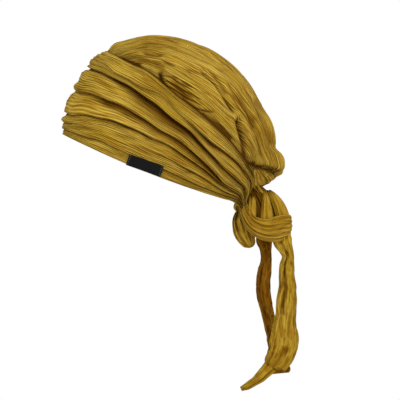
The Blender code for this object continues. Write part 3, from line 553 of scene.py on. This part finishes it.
# The bag, in hoops that stand on the band's top edge on both sides and rise to the outline, from the brow to
# the nape.
even = np.linspace(0.0, 1.0, CROWN_STATIONS + 1)
way = even * (1 + 0.35 * (1 - even))
even = np.linspace(-1.0, 1.0, CROWN_LINES + 1)
sweep = np.radians(90.0 * even * (1 + 0.30 * (1 - even**2)))
landing = FEET_START + way * FEET_REACH
feet = band_base(landing, np.full_like(landing, FEET_HEIGHT))
crests = np.array([on_outline(angle) for angle in FIRST_CREST - way * CREST_TURN])
shell = np.empty((len(way), len(sweep), 3))
shell[..., 0] = feet[:, None, 0] * np.sin(sweep)
shell[..., 1] = feet[:, None, 1] + (crests - feet)[:, None, 1] * np.cos(sweep)
shell[..., 2] = feet[:, None, 2] + (crests - feet)[:, None, 2] * np.cos(sweep)
shell = onto_form(shell)
along, across = np.meshgrid(way * CROWN_LENGTH, even * CROWN_WIDTH / 2, indexing="ij")

# Its relief: in at the seam, out in the roll at the nape, and pleated on the roll and in a fan over the knot.
near_side = shell[..., 0] >= 0
folded = np.where(near_side[..., None], shell, shell * np.array([-1.0, 1.0, 1.0]))
from_edge = away_from(folded, TOP[::12])[0]
from_edge[0, :] = 0.0
from_edge[:, 0] = from_edge[:, -1] = 0.0
rise = soft_step(from_edge / SEAM_REACH)
relief = -SEAM_DROP * (1 - rise)
angle = np.degrees(np.arctan2(shell[..., 2] - FORM_MIDDLE[2], shell[..., 1] - FORM_MIDDLE[1]))
rolled = through(NAPE_ANGLE, NAPE_RISE, angle)
rolled = rolled * np.clip(1 - (shell[..., 0] / ROLL_HALF_WIDTH) ** 2, 0.0, 1.0)
on_roll = np.clip(rolled / 10.0, 0.0, 1.0)
gathers = np.abs(np.sin(across / 3.4 + 1.1 * ripple(along / 30, across / 14, 5)))
fan_y, fan_z = shell[..., 1] - FAN_Y, shell[..., 2] - FAN_Z
fan_angle, fan_reach = np.arctan2(fan_z, fan_y), np.hypot(fan_y, fan_z)
fan = np.abs(np.sin(FAN_PLEATS * fan_angle + 0.9 * ripple(fan_reach / 12, fan_angle * 5, 8)))
fan_there = soft_step((fan_reach - 7.0) / 5.0) * (1 - soft_step((fan_reach - 28.0) / 8.0))
fan_there = fan_there * soft_step((np.abs(shell[..., 0]) - 5.0) / 8.0)
fan_there = fan_there * soft_step((fan_angle + 1.75) / 0.3) * (1 - soft_step((fan_angle + 0.50) / 0.25))
pleats = (gathers - 0.6) * PLEAT_HEIGHT * on_roll * (1 - fan_there)
relief = relief + rolled + pleats + (fan - 0.6) * PLEAT_HEIGHT * fan_there

# Its creases, each a groove with a soft shoulder along it. Those of the far side lie a little lower and
# further back.
painted_fold_shade = np.zeros_like(relief)
shift = np.where(near_side, 0.0, FAR_SHIFT)
for crease, (ys, zs, depth, half_width) in CROWN_CREASES.items():
    seen = np.stack([shell[..., 1] - shift, shell[..., 2] + shift], axis=-1)
    path = through(np.linspace(0, 1, len(ys)), np.column_stack([ys, zs]), np.linspace(0, 1, 15))
    away, share = away_from(seen, path)
    away = away * (1 + 0.25 * ripple(along / 14, across / 9, 31))
    side = np.clip(np.abs(shell[..., 0]) / 12.0, 0.0, 1.0) * np.where(near_side, 1.0, 0.8)
    if crease.startswith("pleat"):
        side = side * np.clip(4 * share * (1 - share), 0.0, 1.0) ** 0.5
    cut = np.exp(-((away / half_width) ** 2)) * side
    shoulder = np.exp(-(((away - SHOULDER_AT * half_width) / (SHOULDER_WIDTH * half_width)) ** 2)) * side
    there = np.maximum(rise, 0.7) if crease in AT_THE_SEAM else rise
    relief = relief + (-depth * cut + SHOULDER_HEIGHT * depth * shoulder * rise) * there
    # How dark the crease is painted, as shade in its groove; the deepest at the seam are painted darkest.
    painted_crease_shade = min(1.0, depth / 4.8)
    if crease in AT_THE_SEAM:
        painted_crease_shade = 2.2 if depth > 4.0 else 1.25
    painted_fold_shade = np.maximum(painted_fold_shade, cut * painted_crease_shade)

# Its cloth, and its painted shade: in the creases, as a shadow under the band's edge and between the pleats.
folds = 1.5 * ripple(along / 52, across / 10.0, 41) + 0.9 * ripple(along / 26, across / 5.2, 43)
height, groove = crinkle(along, across, 51)
small = (folds * rise + height * (0.35 + 0.65 * rise)) * (1 - 0.65 * fan_there)
crown_grid = shell + off_form(shell) * (relief + small - CROWN_SETBACK)[..., None]
painted_edge_shadow_width = 3.5 + 2.5 * np.exp(-(((shell[..., 1] - 38.0) / 16.0) ** 2))
crown_painted_shade = painted_fold_shade * 0.95 + 0.95 * (1 - soft_step((from_edge - 0.5) / painted_edge_shadow_width)) - 0.13 * small
crown_painted_shade = crown_painted_shade + (0.60 - 0.45 * soft_step((5.0 - shell[..., 1]) / 50.0)) * groove
crown_painted_shade = crown_painted_shade + on_roll * (0.6 - gathers) * 0.55 + fan_there * (0.6 - fan) * 0.55
turned = soft_step((fan_there - 0.3) / 0.4)
crown_along = along * (1 - turned) + fan_reach * turned
crown_across = across * (1 - turned) + fan_angle * 22.0 * turned
crown = lay_cloth("crown_cloth", MUSTARD, crown_grid, crown_along, crown_across, crown_painted_shade)
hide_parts("crown")

# The knot's upright folds, the cloth out of both ends of the band, pressed lengthwise into soft strands. They
# stand up in its middle as loops that go over from one side to the other, round a core that closes the knot,
# and the belt wound round them holds them.
TUBE_ROUND = 4.6


def strip_of_cloth(rows, stations, lines, folds, seed, slit=5.0, rough=1.0, crumple=0.0):
    """A strip folded lengthwise into a soft flat tube. A row gives its middle, the way across it, its half
    width and half thickness. A fold gives its places round the tube, its depths and its half width. The slit
    is what stays open on either side of the back. Places, widths of folds and the slit are in degrees."""
    table = np.asarray(rows, float)
    along = way_along(table[:, :3])
    at = np.linspace(0.0, 1.0, stations + 1)
    section = through(along / along[-1], table, at)
    middle, side = section[:, :3], section[:, 3:6]
    forward = np.gradient(middle, axis=0)
    forward /= np.linalg.norm(forward, axis=1, keepdims=True)
    side = side - forward * np.sum(side * forward, axis=1, keepdims=True)
    side /= np.linalg.norm(side, axis=1, keepdims=True)
    out = np.cross(forward, side)
    turn = np.linspace(-180.0 + slit, 180.0 - slit, lines + 1)
    half_width, half_thick = section[:, 6:7], section[:, 7:8]
    round_once = turn / 360.0 * TUBE_ROUND * half_width.mean()
    run, round_it = np.meshgrid(at * along[-1], round_once, indexing="ij")
    inset = np.zeros_like(run)
    for angles, depths, half_angle in folds:
        centre = through(np.linspace(0, 1, len(angles)), angles, at)[:, None]
        centre = centre + 5.0 * ripple(run / 18.0, np.full_like(run, centre.mean()), seed)
        depth = through(np.linspace(0, 1, len(depths)), depths, at)[:, None]
        inset += depth * np.exp(-(((turn - centre) / half_angle) ** 2))
    pleat = 0.55 * ripple(run / 30, turn[None, :] / 15.0 + 0 * run, seed + 3) * rough
    height, groove = crinkle(run, round_it, seed + 7)
    pucker = ripple(run / 9.0 + turn[None, :] / 60.0, round_it / 5.0, seed + 21)
    pucker = pucker + 0.6 * ripple(run / 4.5 - turn[None, :] / 80.0, round_it / 3.2, seed + 22)
    small = pleat + 0.8 * rough * height + crumple * (0.5 - np.abs(pucker))
    inset = np.minimum(inset, half_thick * 0.75 + half_width * 0.10)
    across = (half_width + 0.4 * small) * np.sin(np.radians(turn))
    over = np.cos(np.radians(turn))
    depth = half_thick * over - inset + small * np.abs(over) - 0.3
    grid = middle[:, None] + side[:, None] * across[..., None] + out[:, None] * depth[..., None]
    # Painted shade: darker down in the folds, in the crinkle's grooves and in the deep puckers, lighter on
    # raised cloth.
    painted_shade = inset / np.maximum(half_thick, 3.0) * 0.85 - 0.10 * small + 0.30 * min(rough, 1.0) * groove
    painted_shade = painted_shade + 0.18 * crumple * np.clip(np.abs(pucker) - 0.45, 0.0, 1.0)
    return grid, run, round_it, painted_shade


def lying(rows, across):
    """Strip rows from rows of a middle, a half width and a half thickness that share one way across."""
    return [[x, y, z, *across, w, t] for x, y, z, w, t in rows]


def between_edges(rows):
    """Strip rows from the two edges of a strip, its lower or left one first, and a half thickness."""
    made = []
    for left_x, left_y, left_z, right_x, right_y, right_z, half_thick in rows:
        left, right = np.array([left_x, left_y, left_z]), np.array([right_x, right_y, right_z])
        span = right - left
        length = np.linalg.norm(span)
        made.append([*(left + right) / 2, *span / length, length / 2, half_thick])
    return made


def sew_together(pieces, name):
    """Several pieces of cloth as one, under one name."""
    pick(*pieces)
    bpy.ops.object.join()
    pieces[0].name = name
    return pieces[0]


# Half of each loop, from deep in the knot up to its top: a middle, a half width and a half thickness.
LOOPS = {
    "front": (
        (22.5, 111.6, -66, 4.6, 3.0), (22.0, 111.4, -52, 5.2, 3.4), (19.5, 111.5, -41, 5.2, 3.8),
        (13.0, 111.2, -33, 4.8, 3.8), (0.0, 111.5, -31, 4.0, 3.0)),
    "middle": (
        (21.5, 128.2, -66, 7.6, 3.2), (21.0, 128.4, -52, 7.0, 3.8), (18.0, 128.0, -40, 5.4, 4.0),
        (12.0, 126.8, -29, 3.2, 3.6), (0.0, 125.5, -25, 2.4, 3.0)),
    "back": (
        (15.0, 145.6, -64, 7.2, 3.6), (16.5, 145.2, -51, 7.4, 4.4), (15.0, 141.0, -39, 6.4, 4.6),
        (10.0, 134.5, -29, 4.6, 4.0), (0.0, 130.0, -25, 3.2, 3.0)),
    "front_inner": (
        (15.0, 112.6, -66, 4.6, 4.0), (15.0, 112.6, -52, 4.8, 4.4), (12.5, 112.8, -43, 4.6, 4.4),
        (8.0, 112.6, -37, 4.0, 3.6), (0.0, 112.4, -35, 3.4, 3.0)),
    "inner": (
        (8.8, 147.4, -64, 5.6, 3.2), (9.6, 146.6, -51, 6.0, 3.6), (8.6, 142.0, -40, 5.6, 3.6),
        (5.6, 136.5, -32.5, 4.4, 3.2), (0.0, 133.5, -29, 3.2, 2.8)),
    "innermost": (
        (2.8, 148.2, -64, 5.0, 2.8), (3.0, 147.6, -53, 5.2, 3.0), (2.6, 144.0, -43, 5.0, 2.8),
        (1.4, 139.5, -37, 3.4, 2.2), (0.0, 137.5, -35, 2.6, 1.8)),
}
PRESSED = gauze("pressed_gauze", lit=(0.315, 0.200, 0.019, 1.0), painted_fold_shade=(0.066, 0.024, 0.0008, 1.0),
                rib_pitch=0.0021, rib_shade_strength=0.5, streak_run=0.024)
LOOP_FOLDS = [((-28, 2, -12, 10), (0.9, 0.9), 15), ((40, 62, 46, 30), (0.7, 0.7), 12)]
NECK_ROWS = [
    (17.0, 108.0, -5.0, 4.5, 2.6), (17.5, 112.0, -13.0, 3.6, 2.6), (15.0, 117.5, -20.0, 3.2, 2.4),
    (10.0, 123.0, -26.0, 3.0, 2.2), (4.0, 127.0, -33.0, 3.0, 2.0),
]
CORE_ROWS = [
    (0, 127, -72, 15, 12), (0, 126, -56, 18.5, 15), (0, 122.5, -42, 17.5, 14.5),
    (0, 117, -30, 13.5, 12.5), (0, 112.5, -20, 9.5, 12), (0, 111.5, -12, 7, 12),
]

# Each loop goes down again on the far side, where it is a little narrower.
strands = []
for number, rows in enumerate(LOOPS.values()):
    down_again = [(-x, y - 0.16 * (y - 115.0), z - 0.6, w * 0.85, t) for x, y, z, w, t in rows[-2::-1]]
    loop_rows = lying([*rows, *down_again], (0.0, -1.0, 0.0))
    strands.append(strip_of_cloth(loop_rows, stations=110, lines=40, folds=LOOP_FOLDS,
                                  seed=60 + number, rough=0.45, crumple=0.5))
neck_rows = lying(NECK_ROWS, (0.3, -0.8, 0.5))
strands.append(strip_of_cloth(neck_rows, stations=40, lines=26, folds=[((0, 8), (0.5, 0.5), 12)],
                              seed=66, slit=14.0, rough=0.5))
parts = [lay_cloth(f"fold_{number}", PRESSED, *made) for number, made in enumerate(strands)]
core_rows = lying(CORE_ROWS, (0, 1, 0))
core_grid, *core_place, _ = strip_of_cloth(core_rows, stations=44, lines=48,
                                           folds=[((60, 70), (2.0, 2.0), 14)], seed=71, slit=1.0)
# The core is painted as cloth in shade all over, darkest on the sides that look out between the loops.
from_core = core_grid - core_grid.mean(axis=1, keepdims=True)
facing_side = np.abs(from_core[..., 0]) / np.maximum(np.linalg.norm(from_core[..., :2], axis=-1), 1e-6)
core_painted_shade = 0.45 + 0.42 * soft_step((facing_side - 0.25) / 0.35)
core = lay_cloth("fold_core", PRESSED, core_grid, *core_place, core_painted_shade)
knot_loops = sew_together([*parts, core], "knot_loops")
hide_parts("knot_folds")

# The belt of the knot, several layers of the gauze folded lengthwise. It leaves the band's near end, goes
# round the front of the knot and is tucked in at the back.
BELT = between_edges([
    (24.0, 97.5, -43.0, 22.5, 106.0, -36.0, 2.2),
    (24.5, 101.5, -55.0, 23.5, 109.5, -44.0, 2.8),
    (26.0, 107.5, -66.0, 24.5, 115.0, -50.5, 3.4),
    (27.0, 115.5, -73.6, 26.0, 122.0, -53.4, 3.9),
    (27.5, 125.0, -78.2, 26.5, 131.5, -54.0, 4.2),
    (26.5, 134.0, -79.0, 24.5, 141.0, -52.6, 4.2),
    (22.5, 142.5, -77.0, 21.0, 148.0, -50.0, 3.8),
    (15.5, 150.0, -75.0, 14.5, 153.0, -49.5, 3.4),
    (5.0, 152.5, -73.5, 5.0, 153.6, -51.0, 3.0),
    (-5.0, 147.0, -70.5, -5.0, 148.0, -54.0, 2.4),
])
belt = strip_of_cloth(BELT, stations=120, lines=72, folds=[
    ((-58, -62, -60, -56, -60, -58), (2.0, 2.0, 2.0, 1.6, 0.8, 0.4), 9),
    ((-34, -36, -32, -30, -34, -30), (2.6, 2.6, 2.6, 2.0, 0.9, 0.4), 8),
    ((-10, -12, -6, -4, -8, -6), (2.2, 2.2, 2.2, 1.8, 0.8, 0.4), 7),
    ((16, 12, 18, 22, 16, 14), (2.4, 2.4, 2.4, 1.8, 0.8, 0.4), 8),
    ((42, 40, 44, 46, 42, 44), (2.0, 2.0, 2.0, 1.6, 0.8, 0.4), 8),
], seed=90, rough=0.6, crumple=0.4)
knot_belt = lay_cloth("knot_belt", PRESSED, *belt)
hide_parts("knot_wrap")

# The near tail, the limp free end of the gauze, comes out of the knot under the belt and hangs, soft and
# crumpled. Its lower end is folded over, and what is left of it hangs from that fold as a narrow tip.
NEAR_TAIL = between_edges([
    (18.0, 133.0, -58.0, 14.0, 149.0, -56.0, 2.6),
    (18.5, 133.5, -70.0, 15.0, 153.0, -68.0, 3.4),
    (18.0, 135.6, -79.5, 15.0, 155.9, -80.0, 4.0),
    (17.0, 141.0, -86.5, 14.0, 156.8, -87.0, 4.2),
    (16.0, 144.9, -95.5, 13.5, 157.8, -94.5, 4.6),
    (15.0, 142.2, -105.5, 13.0, 158.2, -105.0, 4.8),
    (14.0, 141.3, -117.0, 12.5, 158.8, -116.0, 5.0),
    (13.0, 141.1, -130.0, 12.0, 160.6, -128.5, 5.2),
    (12.0, 138.6, -144.0, 11.5, 161.0, -142.5, 5.4),
    (11.5, 137.8, -160.5, 11.0, 160.2, -156.5, 5.6),
    (10.5, 134.6, -174.5, 10.5, 160.8, -169.0, 5.8),
    (10.0, 132.0, -187.5, 10.5, 163.0, -182.0, 6.0),
    (10.0, 130.2, -198.0, 10.0, 161.0, -193.5, 6.0),
    (10.0, 126.5, -209.0, 10.0, 154.5, -206.5, 5.6),
    (10.0, 124.5, -214.5, 10.0, 148.0, -212.0, 4.6),
    (10.0, 128.0, -218.0, 10.0, 141.5, -215.0, 2.6),
])
TAIL_TIP = between_edges([
    (7.0, 133.0, -204.0, 7.0, 148.0, -209.0, 3.0),
    (7.5, 126.5, -210.0, 7.5, 142.5, -214.5, 3.6),
    (9.0, 121.8, -216.5, 9.0, 135.0, -221.5, 4.2),
    (10.0, 117.0, -222.4, 10.0, 129.5, -226.2, 4.2),
    (10.0, 111.0, -228.6, 10.0, 119.5, -233.4, 3.6),
    (10.0, 104.0, -233.6, 10.0, 110.0, -238.8, 3.2),
    (10.0, 98.6, -237.8, 10.0, 101.6, -241.2, 2.6),
])
TAIL_GAUZE = gauze("limp_gauze", lit=(0.350, 0.232, 0.020, 1.0), painted_fold_shade=(0.080, 0.030, 0.0010, 1.0),
                   rib_pitch=0.0022, rib_shade_strength=0.45, streak_run=0.016)
tail_strip = strip_of_cloth(NEAR_TAIL, stations=210, lines=84, folds=[
    ((-10, -12, -16, -20, -12, -18, -26, -32, -36, -30),
     (0.8, 2.0, 3.4, 3.8, 4.2, 4.0, 2.0, 1.2, 1.6, 0.8), 11),
    ((34, 30, 24, 40, 46, 36, 20, 12, 18, 20),
     (1.2, 1.2, 0.6, 1.6, 0.8, 0.6, 2.0, 1.0, 1.2, 0.6), 9),
    ((-62, -60, -66, -60, -56, -62, -60, -50, -58, -60),
     (1.4, 1.4, 0.8, 1.2, 1.6, 1.0, 0.8, 1.6, 1.6, 0.8), 10),
    ((60, 62, 66, 60, 64, 58, 48, 44, 52, 60),
     (0.4, 0.6, 1.2, 0.4, 1.4, 0.8, 1.6, 0.6, 0.9, 0.8), 9),
], seed=90, rough=0.8, crumple=1.5)
tip_strip = strip_of_cloth(TAIL_TIP, stations=70, lines=44, folds=[
    ((-30, -20, -26, -10), (1.2, 2.0, 1.6, 0.6), 12),
    ((35, 28, 34, 20), (0.8, 1.6, 1.6, 0.4), 10),
], seed=96, rough=0.8, crumple=1.1)
near_parts = []
for number, (grid, run, round_it, painted_shade) in enumerate([tail_strip, tip_strip]):
    # The tail is painted darker towards its lower end, as more shade.
    painted_shade = painted_shade - 0.04 + 0.28 * soft_step((-90.0 - grid[..., 2]) / 60.0)
    near_parts.append(lay_cloth(f"tail_{number}", TAIL_GAUZE, grid, run, round_it, painted_shade))
near_tail = sew_together(near_parts, "near_tail_cloth")
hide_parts("tail_near")

# The far half of the belt, in the same folded gauze, comes round from the far end of the band and is tucked
# under the near half, so that the knot is held all round.
FAR_BELT_ROWS = [
    (14.0, 145.5, -63.0, 8.0, 2.4), (1.0, 151.0, -60.5, 9.0, 2.8), (-15.5, 147.0, -63.0, 10.0, 3.2),
    (-23.0, 131.0, -65.0, 10.5, 3.2), (-22.0, 119.0, -62.0, 10.0, 3.2), (-17.0, 109.5, -52.0, 8.0, 2.8),
    (-20.0, 103.0, -45.0, 5.5, 2.4),
]
far_belt = strip_of_cloth(lying(FAR_BELT_ROWS, (0.0, 0.0, 1.0)), stations=110, lines=48, folds=[
    ((-40, -36, -44), (2.2, 2.2), 11),
    ((0, 4, -4), (1.8, 1.8), 9),
    ((38, 44, 36), (1.6, 1.6), 9),
], seed=120, rough=0.7, crumple=0.4)
knot_belt_far = lay_cloth("knot_belt_far", PRESSED, *far_belt)

# The folded end of cloth that hangs out of the lower front of the knot. It is gauze in upright pleats,
# pressed together and held by the belt, with one frayed tuft above it.
END_ROWS = [
    (12.0, 102.5, -40.0, 4.0, 2.6), (12.5, 101.5, -47.0, 7.0, 3.6), (13.0, 100.2, -56.0, 9.6, 4.6),
    (13.0, 101.8, -64.0, 10.8, 5.2), (12.5, 104.6, -72.0, 10.6, 5.2), (12.0, 108.0, -79.0, 8.4, 4.6),
    (11.5, 110.4, -83.8, 5.0, 3.4), (11.2, 111.0, -85.4, 2.0, 1.4),
]
FRAYED_ROWS = [
    (21.5, 98.5, -35.5, 2.8, 1.8), (20.5, 96.2, -38.5, 3.1, 2.0), (19.5, 95.0, -42.0, 2.7, 1.8),
    (19.0, 96.4, -46.0, 1.4, 1.2),
]
end_strip = strip_of_cloth(lying(END_ROWS, (0.0, 1.0, 0.0)), stations=70, lines=84, folds=[
    ((-70, -62, -50), (1.5, 2.4, 1.0), 8),
    ((-44, -32, -20), (3.0, 4.8, 2.4), 9),
    ((-4, 6, -4), (1.2, 1.8, 0.8), 6),
    ((22, 30, 18), (2.2, 3.0, 1.2), 7),
    ((56, 50, 42), (1.0, 1.8, 1.0), 8),
], seed=140, crumple=1.7)
frayed_strip = strip_of_cloth(lying(FRAYED_ROWS, (0.0, 1.0, 0.6)), stations=26, lines=24, folds=[
    ((-20, 0), (0.6, 0.6), 12),
    ((40, 30), (0.5, 0.5), 10),
], seed=151, crumple=1.8)
folded_end = lay_cloth("knot_end_cloth", PRESSED, *end_strip)
frayed_tuft = lay_cloth("frayed_tuft", PRESSED, *frayed_strip)
knot_end_cloth = sew_together([folded_end, frayed_tuft], "knot_end_cloth")
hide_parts("knot_end")

# The far tail, a narrower strip of the gauze that hangs straight out of the knot in its shade. It is held in
# the knot, and its lower end shows a little beside the near tail's fold.
# Its gauze is painted much darker all over, as the shade the far tail hangs in.
SHADE_PAINTED_GAUZE = gauze("shaded_gauze", lit=(0.205, 0.090, 0.0045, 1.0), painted_fold_shade=(0.050, 0.016, 0.0006, 1.0),
            rib_pitch=0.0022, rib_shade_strength=0.4, streak_run=0.016)

# Each row: a point of the middle, a half width, a half thickness, and how far the way across tilts up towards
# the back.
FAR_ROWS = [
    (-1.0, 125.5, -62.0, 8.0, 4.6, 0.0), (-1.5, 125.5, -78.0, 8.8, 5.0, 0.0),
    (-3.0, 127.3, -89.0, 6.4, 4.8, 0.0), (-4.0, 127.6, -100.0, 6.2, 4.8, 0.0),
    (-5.0, 126.2, -111.0, 7.6, 4.8, 0.0), (-6.0, 124.8, -124.0, 7.8, 5.0, 0.0),
    (-7.0, 125.4, -139.0, 7.8, 5.0, 0.0), (-7.5, 128.2, -152.0, 7.2, 4.8, 0.0),
    (-8.0, 131.0, -164.0, 6.8, 4.8, 0.0), (-8.0, 134.4, -177.0, 7.4, 4.8, 0.0),
    (-8.0, 137.6, -192.0, 8.2, 4.8, 0.05), (-8.0, 140.4, -206.0, 9.4, 4.8, 0.20),
    (-8.0, 142.4, -215.0, 10.4, 4.8, 0.42), (-8.0, 143.4, -221.0, 10.6, 4.0, 0.50),
    (-8.0, 143.6, -223.0, 9.0, 2.0, 0.50),
]
far_rows = [[x, y, z, 0.0, 1.0, tilt, w, t] for x, y, z, w, t, tilt in FAR_ROWS]
far_strip = strip_of_cloth(far_rows, stations=160, lines=64, folds=[
    ((10, -10, -30, -30, -20, -25, -20), (0.5, 1.5, 4.0, 4.4, 3.8, 3.0, 1.5), 26),
    ((50, 44, 34, 30, 36, 40, 40), (1.5, 0.8, 0.6, 1.6, 1.2, 1.6, 1.0), 9),
    ((-62, -60, -70, -66, -64, -62, -66), (1.6, 0.6, 0.8, 1.0, 1.2, 0.8, 1.0), 9),
], seed=160, rough=0.9, crumple=1.5)
far_tail = lay_cloth("far_tail_cloth", SHADE_PAINTED_GAUZE, *far_strip)
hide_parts("tail_far")

# The label, a small tab of bare black woven tape. It lies on the band's side near the rim, along the slope of
# the folds, and is sewn on by a row of stitches near each end.
LABEL_LENGTH, LABEL_HEIGHT, LABEL_TILT = 39.0, 12.4, math.radians(-19.5)
LABEL_WALL, LABEL_LIFT = 0.7, 1.25
tab_along = np.linspace(-0.5, 0.5, 66) * LABEL_LENGTH
tab_up = np.linspace(-0.5, 0.5, 24) * LABEL_HEIGHT
tab_along, tab_up = np.meshgrid(tab_along, tab_up, indexing="ij")
tab_y = LABEL_Y + tab_along * math.cos(LABEL_TILT) - tab_up * math.sin(LABEL_TILT)
tab_z = LABEL_Z + tab_along * math.sin(LABEL_TILT) + tab_up * math.cos(LABEL_TILT)
tab = from_side(tab_y, tab_z)
edge = np.minimum(LABEL_LENGTH / 2 - np.abs(tab_along), (LABEL_HEIGHT / 2 - np.abs(tab_up)) * 1.5)
wave = 0.25 * np.sin(tab_along / 6.0) * np.cos(tab_up / 5.0)
lift = LABEL_LIFT + wave - 0.35 * (1 - soft_step(edge / 1.2))
tab = tab + off_form(tab) * lift[..., None]

tape = bpy.data.materials.new("black_tape")
tape.use_nodes = True
tree = tape.node_tree
flat_tape = node(tree, "UVMap", {}, uv_map="cloth").outputs["UV"]
tape_ribs = node(tree, "TexWave", {"Vector": flat_tape, "Scale": 320.0, "Distortion": 1.0},
                 bands_direction="X").outputs["Fac"]
shades = node(tree, "ValToRGB", {"Fac": tape_ribs})
shades.color_ramp.elements[0].color = (0.002, 0.002, 0.0025, 1.0)
shades.color_ramp.elements[1].color = (0.007, 0.007, 0.008, 1.0)

# A row of stitches across the tab near each end.
STITCH_ROW, STITCH_HALF, STITCH_PITCH = 0.0178, 0.0004, 0.0022
flat_place = node(tree, "SeparateXYZ", {"Vector": flat_tape}).outputs
from_middle = reckon(tree, "ABSOLUTE", flat_place["X"])
in_row = reckon(tree, "COMPARE", from_middle, STITCH_ROW, STITCH_HALF)
in_turns = reckon(tree, "MULTIPLY", flat_place["Y"], 2 * math.pi / STITCH_PITCH)
in_stitch = reckon(tree, "GREATER_THAN", reckon(tree, "SINE", in_turns), -0.3)
stitches = reckon(tree, "MULTIPLY", in_row, in_stitch)
sewn = node(tree, "Mix", {0: stitches, 6: shades.outputs["Color"], 7: (0.035, 0.035, 0.038, 1.0)},
            data_type="RGBA").outputs[2]
tape_height = reckon(tree, "ADD", reckon(tree, "MULTIPLY", tape_ribs, 0.6), stitches)
raised = node(tree, "Bump", {"Strength": 0.5, "Distance": 0.0002, "Height": tape_height})
fill(tree.nodes["Principled BSDF"], {
    "Base Color": sewn, "Normal": raised.outputs["Normal"], "Roughness": 0.75, "Specular IOR Level": 0.04})
label = lay_cloth("label_tape", tape, tab, tab_along, tab_up, np.zeros_like(tab_up), wall=LABEL_WALL)
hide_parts("label")

# The studio: a pale floor well below the cap, which is held in the air in its worn form, even light from all
# round with a soft key from above the brow, and the camera square to the side that has the label.
FLOOR_RADIUS, FLOOR_Y, FLOOR_Z = 0.9, 0.03, -0.32
bpy.ops.mesh.primitive_circle_add(vertices=64, radius=FLOOR_RADIUS, fill_type="NGON",
                                  location=(0.0, FLOOR_Y, FLOOR_Z))
floor = bpy.context.object
floor.name = "floor"
bpy.ops.object.transform_apply(location=True, rotation=True, scale=True)
paper = bpy.data.materials.new("pale_paper")
paper.use_nodes = True
fill(paper.node_tree.nodes["Principled BSDF"], {"Base Color": (0.86, 0.86, 0.86, 1.0), "Roughness": 0.9})
floor.data.materials.append(paper)
floor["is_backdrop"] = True

room = bpy.data.worlds.new("studio")
room.use_nodes = True
fill(room.node_tree.nodes["Background"], {"Color": (1.0, 1.0, 1.0, 1.0), "Strength": 1.0})
bpy.context.scene.world = room


LAMP_SIZE = 0.8


def lamp(name, place, aim, power, tint):
    light = bpy.data.lights.new(name, "AREA")
    light.size = LAMP_SIZE
    light.energy = power
    light.color = tint
    stand = bpy.data.objects.new(name, light)
    bpy.context.scene.collection.objects.link(stand)
    stand.location = place
    way = np.array(aim) - np.array(place)
    heading = math.atan2(way[1], way[0]) - math.pi / 2
    tilt = math.atan2(way[2], math.hypot(way[0], way[1]))
    stand.rotation_euler = (math.pi / 2 + tilt, 0.0, heading)


lamp("key", place=(2.1, -0.3, 1.7), aim=(0.0, 0.02, 0.0), power=58.0, tint=(0.92, 1.0, 0.86))
lamp("fill", place=(1.8, 1.8, 0.4), aim=(0.0, 0.08, 0.0), power=24.0, tint=(1.0, 0.93, 0.80))

# The picture is so many pixels wide, each so many millimetres at the cap's middle, and its own middle lies so
# many pixels behind and below the middle of the opening.
PICTURE_SIDE, PIXEL, PIXELS_BEHIND, PIXELS_BELOW = 400, 1.09, 51, 31
CAMERA_DISTANCE, SENSOR_WIDTH = 6.0, 36.0
lens = bpy.data.cameras.new("camera")
lens.sensor_width = SENSOR_WIDTH
lens.lens = SENSOR_WIDTH * CAMERA_DISTANCE / (PICTURE_SIDE * PIXEL * MM)
lens.clip_end = 50.0
camera = bpy.data.objects.new("camera", lens)
bpy.context.scene.collection.objects.link(camera)
camera.location = (CAMERA_DISTANCE, PIXELS_BEHIND * PIXEL * MM, -PIXELS_BELOW * PIXEL * MM)
camera.rotation_euler = (math.pi / 2, 0.0, math.pi / 2)
bpy.context.scene.camera = camera
bpy.context.scene.view_settings.view_transform = "Standard"

low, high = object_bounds()
